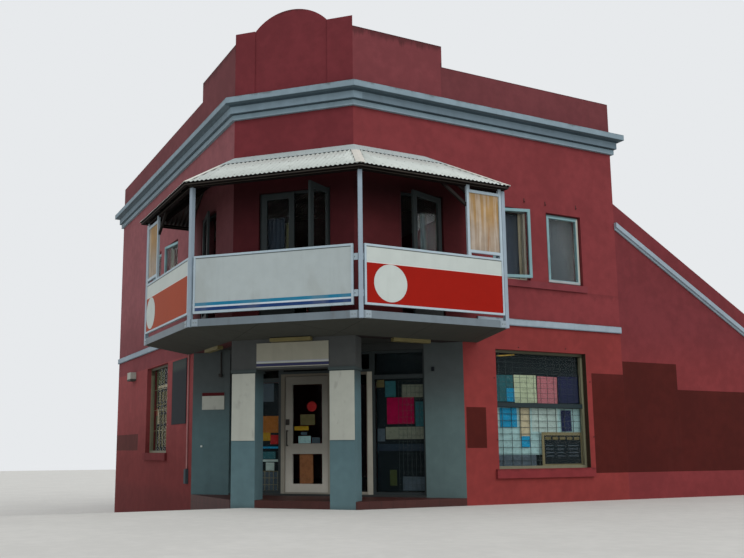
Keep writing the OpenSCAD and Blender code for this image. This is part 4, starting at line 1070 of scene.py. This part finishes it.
class Paper(Enum):
    """Colours of the plain sheets behind the shop's glass."""

    WHITE = "9fb3ac"
    GREY = "6e7465"
    INK = "24303a"
    AQUA = "8eafae"
    PALE_GREEN = "a8b596"
    CREAM = "a79f83"
    PINK = "a3646a"
    CRIMSON = "93083b"
    RED = "9a2424"
    ORANGE = "8f5a26"
    YELLOW = "9a7b1f"
    BLUE = "1a80a6"
    TEAL = "2b5a60"
    NAVY = "1b2140"
    SLATE = "46535b"
    OLIVE = "5d5739"
    BROWN = "8a5c3c"
    DARK = "141d20"
    FOREST = "3a4428"
    # LAMP is the lit tube's glow painted as a plain colour; it gives no light.
    LAMP = "c2a24c"

    def finish(self) -> Finish:
        """The printed sheet's finish, with soft generic blotches."""
        shade = tuple(c * 0.55 for c in rgb(self.value))
        return Paint(
            f"{self.name.lower()}_paper", self.value,
            (Blotches(shade, (14.0, 14.0, 18.0), 0.52, 0.6, 0.35),),
            clouds=0.08, streaks=0.04, roughness=0.6, gloss=0.05, relief=0.1,
        )


# A sheet is its colour, its left and right edges, and its foot and top.
Sheet = tuple[Paper, float, float, float, float]


@dataclass(frozen=True)
class Display:
    """Plain sheets and cards behind one pane, each in front of those before it."""

    name: str
    face: Face
    depth: float
    sheets: tuple[Sheet, ...]
    body: str = "building"
    thickness: float = 0.0012
    step: float = 0.0015
    lean: float = 0.5
    widest_leaning: float = 0.6

    def build(self) -> None:
        """Builds one piece for each colour."""
        for paper in dict.fromkeys(item[0] for item in self.sheets):
            mesh = bmesh.new()
            for order, (kind, x0, x1, z0, z1) in enumerate(self.sheets):
                if kind is paper:
                    y = self.depth - self.step * order
                    verts = add_box(mesh, (x0, y, z0), (x1, y + self.thickness, z1))
                    lean = math.radians(self.lean * ((order * 7) % 5 - 2))
                    if x1 - x0 < self.widest_leaning:
                        turn = Matrix.Rotation(lean, 3, "Y")
                        middle = Vector(((x0 + x1) / 2, y, (z0 + z1) / 2))
                        bmesh.ops.rotate(mesh, cent=middle, matrix=turn, verts=verts)
            name = f"{self.name}_{paper.name.lower()}"
            piece(name, mesh, paper.finish(), self.face.matrix(), self.body)


@dataclass(frozen=True)
class Grille:
    """Upright and level bars of a window guard."""

    name: str
    face: Face
    x: Span
    z: Span
    depth: float
    pitch: Span
    bar: float
    finish: Finish = MESH_STEEL

    def build(self) -> None:
        """Builds the guard as one piece."""
        mesh = bmesh.new()
        half = self.bar / 2
        (x0, x1), (z0, z1) = self.x, self.z
        across = round((x1 - x0) / self.pitch[0])
        levels = round((z1 - z0) / self.pitch[1])
        middle = self.depth + self.bar
        for i in range(across + 1):
            x = x0 + (x1 - x0) * i / across
            add_box(mesh, (x - half, self.depth, z0), (x + half, middle, z1))
        for i in range(levels + 1):
            z = z0 + (z1 - z0) * i / levels
            add_box(mesh, (x0, middle, z - half), (x1, self.depth + 2 * self.bar, z + half))
        piece(self.name, mesh, self.finish, self.face.matrix())


@dataclass(frozen=True)
class Curtain:
    """A hung curtain on its rod."""

    name: str
    face: Face
    x: Span
    z: Span
    depth: float
    rod: Span
    finish: Cloth
    folds: int
    swing: float
    radius: float = 0.006
    thickness: float = 0.0006
    sway: float = 0.006
    fold_points: int = 10
    rows: int = 24

    def build(self) -> None:
        """Builds the rod and the cloth."""
        top = self.z[1]
        bar = bmesh.new()
        middle = Matrix.Translation((sum(self.rod) / 2, self.depth, top))
        turn = Matrix.Rotation(math.pi / 2, 4, "Y")
        add_bar(bar, middle @ turn, self.radius, self.rod[1] - self.rod[0], segments=12)
        rod = piece(f"{self.name}_rod", bar, FITTINGS, self.face.matrix())
        cloth = bmesh.new()
        wide, high = self.x[1] - self.x[0], self.z[1] - self.z[0]
        centre = Matrix.Translation(((self.x[0] + self.x[1]) / 2, self.depth, (self.z[0] + top) / 2))
        upright = centre @ FACING @ Matrix.Diagonal((wide, high, 1.0, 1.0))
        points = self.folds * self.fold_points
        bmesh.ops.create_grid(cloth, x_segments=points, y_segments=self.rows, size=0.5, matrix=upright)
        for v in cloth.verts:
            along = (v.co.x - self.x[0]) / wide
            down = (top - v.co.z) / high
            wave = math.sin(2 * math.pi * self.folds * along + 1.3 * math.sin(5 * along))
            hang = self.swing * (0.35 + 0.65 * down)
            v.co.y += hang * wave + self.sway * math.sin(9 * along + 4 * down)
        area = sum(f.calc_area() for f in cloth.faces)
        made = piece(self.name, cloth, self.finish, self.face.matrix(), smooth=True)
        made.modifiers.new("thickness", "SOLIDIFY").thickness = self.thickness


@dataclass
class ShopWindows:
    """What shows behind the panes of the ground floor."""

    behind: float = 0.186
    guard: float = 0.151
    on_pane: float = 0.1315

    def right_window(self) -> None:
        """Sheets, mesh and framed board in the right street's window."""
        Display("right_window_sheets", RIGHT, self.behind, (
            (Paper.DARK, 2.70, 4.64, 0.59, 2.55), (Paper.AQUA, 2.70, 4.64, 0.80, 1.60),
            (Paper.WHITE, 3.55, 4.12, 1.19, 1.59), (Paper.TEAL, 2.72, 3.17, 1.70, 2.15),
            (Paper.BLUE, 3.02, 3.19, 1.70, 1.93), (Paper.PALE_GREEN, 3.19, 3.67, 1.685, 2.165),
            (Paper.NAVY, 4.16, 4.62, 1.70, 2.165), (Paper.PINK, 3.69, 4.13, 1.665, 2.15),
            (Paper.BLUE, 2.86, 3.22, 1.26, 1.59), (Paper.CREAM, 3.28, 3.50, 1.085, 1.60),
            (Paper.NAVY, 4.19, 4.42, 1.20, 1.57), (Paper.BLUE, 3.30, 3.48, 0.925, 1.115),
            (Paper.SLATE, 2.75, 3.60, 0.60, 0.80),
        )).build()
        for name, z, pitch, bar in (
            ("upper", (1.68, 2.55), (0.149, 0.087), 0.0045), ("lower", (0.59, 1.60), (0.194, 0.112), 0.007),
        ):
            Grille(f"right_window_{name}_mesh", RIGHT, (2.70, 4.64), z, 0.1512, pitch, bar).build()
        self.lamp_glint()
        self.framed_board()

    def lamp_glint(self) -> None:
        """Lit tube that shows at the top of the right window."""
        tube = bmesh.new()
        half = Vector((0.19, 0.003, 0.011))
        lean = Matrix.Rotation(math.radians(-5.5), 4, "Y")
        add_box(tube, -half, half, 0.002, Matrix.Translation((3.02, 0.1665, 2.49)) @ lean)
        piece("right_window_tube", tube, Paper.LAMP.finish(), RIGHT.matrix())

    def framed_board(self) -> None:
        """Dark board in an olive frame, low at the right of the window."""
        frame = bmesh.new()
        left, right, foot, top = 3.72, 4.645, 0.585, 1.185
        front, back, wide = 0.150, 0.1508, 0.055
        inner = (left + wide, right - wide, foot + wide, top - wide)
        bars = (
            (left, right, foot, inner[2]), (left, right, inner[3], top),
            (left, inner[0], *inner[2:]), (inner[1], right, *inner[2:]),
        )
        for x0, x1, z0, z1 in bars:
            add_box(frame, (x0, front, z0), (x1, back, z1))
        piece("right_window_board_frame", frame, OLIVE_FRAME, RIGHT.matrix())
        heads = [(Paper.OLIVE, x, x + 0.12, 1.055, 1.105) for x in (3.80, 3.96, 4.12, 4.28, 4.44)]
        rows = [
            (Paper.SLATE, x, x + long, z, z + 0.012)
            for z in (0.95, 0.89, 0.83, 0.77) for x, long in ((3.80, 0.17), (4.05, 0.15), (4.30, 0.22))
        ]
        Display(
            "right_window_board", RIGHT, 0.1502, ((Paper.DARK, *inner), *heads, *rows),
            thickness=0.0005, step=0.0006,
        ).build()

    def left_window(self) -> None:
        """Guard bars and sheets in the left street's window."""
        racks = ((4.08, 4.22), (4.32, 4.50), (4.58, 4.71), (4.79, 4.92))
        rows = ((0.98, 1.40), (1.45, 1.64), (1.69, 1.80), (1.91, 2.12))
        Display("left_window_sheets", LEFT, self.behind + 0.02, (
            (Paper.DARK, 3.71, 5.25, 0.87, 2.62), (Paper.FOREST, 4.62, 5.22, 2.30, 2.58),
            (Paper.RED, 5.10, 5.22, 1.64, 1.79), (Paper.CREAM, 4.98, 5.09, 1.46, 1.74),
            (Paper.CREAM, 4.10, 5.08, 2.21, 2.265), (Paper.OLIVE, 4.10, 5.20, 1.845, 1.875),
            *((Paper.OLIVE, *rack, *row) for rack in racks for row in rows),
        )).build()
        Grille(
            "left_window_guard", LEFT, (3.72, 5.24), (0.88, 2.61), 0.152, (0.2533, 0.43), 0.010,
            GUARD_STEEL,
        ).build()

    def shopfront(self) -> None:
        """Sheets behind the shopfront's two windows."""
        Display("shopfront_right_sheets", SHOPFRONT, self.behind, (
            (Paper.DARK, 0.94, 1.77, 0.20, 2.62), (Paper.CRIMSON, 1.12, 1.59, 1.325, 1.77),
            (Paper.GREY, 1.385, 1.765, 1.77, 1.985), (Paper.TEAL, 1.61, 1.765, 1.28, 1.695),
            (Paper.SLATE, 0.95, 1.08, 1.035, 1.25), (Paper.GREY, 1.095, 1.755, 1.07, 1.275),
            (Paper.TEAL, 1.095, 1.28, 1.785, 2.055), (Paper.INK, 0.94, 1.765, 0.875, 0.99),
            (Paper.OLIVE, 0.94, 1.08, 1.95, 2.08), (Paper.SLATE, 1.38, 1.765, 0.22, 0.45),
            (Paper.FOREST, 1.16, 1.28, 0.30, 0.56),
        )).build()
        Grille(
            "shopfront_right_mesh", SHOPFRONT, (1.33, 1.765), (0.22, 2.05), self.guard,
            (0.0725, 0.1), 0.004,
        ).build()
        Display("shopfront_left_sheets", SHOPFRONT, self.behind, (
            (Paper.DARK, -1.69, -0.86, 0.20, 2.08), (Paper.SLATE, -1.60, -0.96, 1.75, 2.08),
            (Paper.ORANGE, -1.68, -0.87, 1.20, 1.495), (Paper.YELLOW, -1.50, -1.02, 1.06, 1.20),
            (Paper.RED, -1.02, -0.87, 1.00, 1.16), (Paper.PALE_GREEN, -1.68, -1.50, 0.97, 1.20),
            (Paper.BLUE, -1.68, -0.87, 0.925, 0.957), (Paper.TEAL, -1.68, -0.92, 0.743, 0.869),
            (Paper.WHITE, -1.68, -0.87, 0.694, 0.733), (Paper.WHITE, -1.10, -0.94, 0.54, 0.68),
            (Paper.SLATE, -1.68, -0.865, 0.20, 0.52),
        )).build()
        Grille(
            "shopfront_left_rack", SHOPFRONT, (-1.68, -0.865), (0.18, 0.53), self.guard,
            (0.0815, 0.117), 0.006, GUARD_STEEL,
        ).build()

    def door(self) -> None:
        """Plain cards and a disc on the entry door's panes."""
        Display("door_cards", SHOPFRONT, self.on_pane, (
            (Paper.OLIVE, -0.435, -0.165, 1.325, 1.51), (Paper.YELLOW, -0.546, -0.284, 1.235, 1.307),
            (Paper.SLATE, -0.425, -0.311, 1.156, 1.204), (Paper.AQUA, -0.473, -0.242, 1.012, 1.136),
            (Paper.SLATE, -0.218, -0.070, 1.012, 1.110), (Paper.BROWN, -0.445, -0.198, 0.322, 0.824),
        ), body="entry_door", step=0.0).build()
        disc = bmesh.new()
        middle = Matrix.Translation((-0.221, self.on_pane, 1.647))
        add_bar(disc, middle @ FACING, radius=0.088, long=0.001, segments=40)
        place = SHOPFRONT.matrix()
        piece("door_disc", disc, Paper.RED.finish(), place, "entry_door")

    def build(self) -> None:
        """Builds every display."""
        self.right_window()
        self.left_window()
        self.shopfront()
        self.door()


@dataclass
class Balcony:
    """Bolts on the steel edge, and the curtains behind the upper panes."""

    front: float = 0.858
    plate_z: float = 2.8475
    plate_bolts: Span = (0.028, 0.072)
    bolt_radius: float = 0.009
    bolt_head: float = 0.006
    lug_front: float = 0.8215
    lug_z: Span = (3.165, 3.71)
    disc_radius: float = 0.285
    disc_thickness: float = 0.001
    disc_z: float = 3.335
    board_front: float = 0.8455

    def on_front(self, mesh: BMesh, face: Face, x: float, front: float, z: float) -> None:
        """Adds a hexagon head on an upright plate.

        Args:
            mesh: The mesh it goes into.
            face: The face whose frame the place is in.
            x: Place along the face.
            front: How far the plate stands out.
            z: Height.
        """
        at = face.matrix() @ Matrix.Translation((x, -front, z)) @ FACING
        add_stud(mesh, at, self.bolt_radius, self.bolt_head)

    def bolts(self) -> None:
        """Two bolts through each splice plate and one through each lug."""
        mesh = bmesh.new()
        lugs = {RIGHT: (-0.300, 2.252), LEFT: (-0.300, 2.252), CORNER: (-1.345, 1.30)}
        for face, starts in PLATES.items():
            for start in starts:
                for along in self.plate_bolts:
                    self.on_front(mesh, face, start + along, self.front, self.plate_z)
        for face, places in lugs.items():
            for x in places:
                for z in self.lug_z:
                    self.on_front(mesh, face, x, self.lug_front, z)
        piece("balcony_bolts", mesh, SCREWS, Matrix())

    def discs(self) -> None:
        """Plain pale discs on the two side boards."""
        mesh = bmesh.new()
        for face, x in ((RIGHT, 0.155), (LEFT, 1.93)):
            at = face.matrix() @ Matrix.Translation((x, -self.board_front, self.disc_z)) @ FACING
            add_bar(mesh, at, self.disc_radius, self.disc_thickness, segments=64)
        bmesh.ops.recalc_face_normals(mesh, faces=mesh.faces)
        piece("board_discs", mesh, DISC_PAINT, Matrix())

    def rear_boards(self) -> None:
        """Dark boards inside the two rear windows that keep the rooms in painted shade."""
        mesh = bmesh.new()
        front, back, foot, top = 9.262, 9.272, 3.83, 5.06
        for left, right in ((1.43, 2.17), (4.23, 4.97)):
            add_box(mesh, (left, front, foot), (right, back, top))
        piece("rear_window_shade_boards", mesh, REAR_SHADE_BOARDS, STREET.matrix())

    def curtains(self) -> None:
        """Curtains behind the upper windows and the balcony doors."""
        window, second, doors, door = (2.702, 3.498), (3.907, 4.703), (-0.588, 0.648), (0.872, 1.698)
        tall, short = (3.84, 5.06), (3.84, 5.04)
        for name, face, x, z, depth, rod, cloth, folds, swing in (
            ("curtain_window_right", RIGHT, (3.412, 3.496), tall, 0.178, window,
             Cloth("cream_cloth", "b5ad93"), 3, 0.012),
            ("net_window_right", RIGHT, (2.72, 3.44), short, 0.22, window,
             Cloth("slate_cloth", "3a434d"), 3, 0.008),
            ("blind_window_right", RIGHT, (3.93, 4.68), tall, 0.20, second,
             Cloth("grey_cloth", "4a5256"), 3, 0.008),
            ("curtain_french_blue", CORNER, (-0.57, -0.20), (2.97, 4.70), 0.19, doors,
             Cloth("blue_cloth", "2f3b47"), 6, 0.022),
            ("curtain_french_green", CORNER, (-0.19, -0.08), (2.97, 4.62), 0.215, doors,
             Cloth("green_cloth", "5c5c40"), 2, 0.012),
            ("curtain_door_right", RIGHT, (1.365, 1.455), (2.97, 4.83), 0.20, door,
             Cloth("pale_cloth", "54686c"), 2, 0.012),
            ("curtain_door_strip", RIGHT, (1.49, 1.515), (2.97, 4.83), 0.225, door,
             Cloth("strip_cloth", "6b6462"), 1, 0.006),
            ("curtain_window_left", LEFT, (3.22, 3.97), tall, 0.20, (3.192, 3.988),
             Cloth("rust_cloth", "584038"), 10, 0.02),
        ):
            Curtain(name, face, x, z, depth, rod, cloth, folds, swing).build()

    def build(self) -> None:
        """Builds the bolts, the discs, the boards and the curtains."""
        self.bolts()
        self.discs()
        self.rear_boards()
        self.curtains()


@dataclass
class WallFixings:
    """Small hooks, bolts and boxes left on the walls."""

    hooks: tuple[Span, ...] = ((3.42, 5.25), (3.896, 5.248), (4.61, 5.264))
    studs: tuple[Span, ...] = (
        (3.171, 2.617), (4.210, 2.640), (2.637, 2.078), (2.658, 1.051), (4.737, 2.074), (4.766, 1.106),
    )
    plate: Vector = Vector((0.010, 0.004, 0.04))
    finger: Vector = Vector((0.006, 0.028, 0.03))
    finger_top: float = 0.018
    softened: float = 0.001
    stud_radius: float = 0.011
    stud_head: float = 0.012

    def hooks_and_studs(self) -> None:
        """Flat hooks with a bent finger, and bolts, on the right-hand wall."""
        mesh = bmesh.new()
        for x, z in self.hooks:
            wide, thick, high = self.plate
            add_box(mesh, (x - wide, -thick, z - high), (x + wide, 0.0, z + high), self.softened)
            wide, out, low = self.finger
            top = z - self.finger_top
            add_box(mesh, (x - wide, -out, z - low), (x + wide, -thick, top), self.softened)
        for x, z in self.studs:
            at = Matrix.Translation((x, 0.0, z)) @ FACING
            add_stud(mesh, at, self.stud_radius, self.stud_head)
        piece("wall_fixings", mesh, RUSTY, RIGHT.matrix())

    def build(self) -> None:
        """Builds the right-hand wall's fixings and the left pier's small boxes."""
        self.hooks_and_studs()
        pier = SHOPFRONT.matrix()
        rod = bmesh.new()
        add_box(rod, (-1.922, -0.026, 2.235), (-1.898, -0.002, 2.650), 0.004)
        add_box(rod, (-1.945, -0.050, 2.200), (-1.880, -0.002, 2.262), 0.006)
        piece("pier_fittings", rod, FITTINGS, pier)
        stop = bmesh.new()
        add_box(stop, (-2.297, -0.016, 0.952), (-2.260, -0.001, 0.984), 0.003)
        piece("pier_button", stop, DISC_PAINT, pier)


@dataclass
class Studio:
    """Camera, light and the plain floor that follows the street's fall."""

    lens: float = 41.77
    sensor: float = 36.0
    shift: Span = (0.0614, 0.0434)
    yaw: float = 26.36
    pitch: float = 9.12
    roll: float = -0.23
    at: tuple[float, float, float] = (-4.8175, -11.7116, 0.8963)
    far: float = 60.0
    fall: tuple[Span, ...] = ((1.3, 0.0), (3.2, -0.13), (9.3, -0.619))
    sky: Colour = (0.92, 0.96, 1.0)
    sky_strength: float = 0.85
    backdrop: Colour = (0.80, 0.82, 0.84)
    sun_energy: float = 1.1
    sun_degrees: tuple[float, float, float] = (48.0, 0.0, 18.0)
    sun_width: float = 50.0

    def camera(self) -> None:
        """Sets the camera where the photograph was taken."""
        yaw, pitch, roll = (math.radians(a) for a in (self.yaw, self.pitch, self.roll))
        flat = math.cos(pitch)
        ahead = Vector((flat * math.sin(yaw), flat * math.cos(yaw), math.sin(pitch)))
        level = Vector((math.cos(yaw), -math.sin(yaw), 0.0))
        right = math.cos(roll) * level + math.sin(roll) * level.cross(ahead)
        data = bpy.data.cameras.new("camera")
        data.sensor_width = self.sensor
        data.lens = self.lens
        data.shift_x, data.shift_y = self.shift
        data.clip_end = 200.0
        made = add_object("camera", data)
        turn = Matrix((right, right.cross(ahead), -ahead)).transposed().to_4x4()
        made.matrix_world = Matrix.Translation(STREET_ZERO + Vector(self.at)) @ turn
        bpy.context.scene.camera = made

    def floor(self) -> None:
        """Lays the pale ground, which falls along the left street."""
        mesh = bmesh.new()
        line = ((-self.far, 0.0), *self.fall, (self.far, self.fall[-1][1]))
        draw_out(mesh, [(-self.far, y, z) for y, z in line], (2 * self.far, 0, 0))
        bmesh.ops.recalc_face_normals(mesh, faces=mesh.faces)
        bmesh.ops.transform(mesh, matrix=STREET.matrix(), verts=mesh.verts)
        data = bpy.data.meshes.new("ground")
        mesh.to_mesh(data)
        mesh.free()
        ground = Finish("pale_ground", "c9c6c0", clouds=0.04, streaks=0.0, roughness=0.9, relief=0.05)
        data.materials.append(ground.build())
        add_object("ground", data)

    def light(self) -> None:
        """Plain soft light from the sky and one broad sun, and a plain backdrop."""
        world = bpy.data.worlds.new("sky")
        bpy.context.scene.world = world
        world.use_nodes = True
        tree = Tree(world.node_tree)
        light = world.node_tree.nodes["Background"]
        tree.feed(light, {"Color": self.sky, "Strength": self.sky_strength})
        plain = tree.node("ShaderNodeBackground", {"Color": self.backdrop})
        rays = tree.node("ShaderNodeLightPath").outputs
        seen = tree.maths("MAXIMUM", rays["Is Camera Ray"], rays["Is Transmission Ray"])
        seen = tree.maths("MAXIMUM", seen, rays["Is Glossy Ray"])
        both = tree.node("ShaderNodeMixShader", {0: seen, 1: light.outputs[0], 2: plain.outputs[0]})
        tree.feed(world.node_tree.nodes["World Output"], {0: both.outputs[0]})
        data = bpy.data.lights.new("sun", "SUN")
        data.energy = self.sun_energy
        data.angle = math.radians(self.sun_width)
        add_object("sun", data).rotation_euler = [math.radians(a) for a in self.sun_degrees]

    def build(self) -> None:
        """Builds camera, floor and light."""
        self.camera()
        self.floor()
        self.light()
        bpy.context.scene.view_settings.view_transform = "Standard"


def dress_nodes(nodes: dict[str, bpy.types.Object]) -> None:
    """Gives each CAD node its finish.

    Args:
        nodes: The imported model's nodes by name.
    """
    for name, node in nodes.items():
        node.data.materials.clear()
        node.data.materials.append(NODE_LOOKS[name].build())
        LOG.info("node %s", name)


def main() -> None:
    """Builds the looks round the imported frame."""
    logging.basicConfig(level=logging.INFO, format="%(name)s: %(message)s")
    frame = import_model()
    make_groups()
    dress_nodes(frame["nodes"])
    for part in (VerandahRoof(), ShopWindows(), Balcony(), WallFixings(), Studio()):
        part.build()
        LOG.info("built %s", type(part).__name__)


if __name__ == "__main__":
    main()
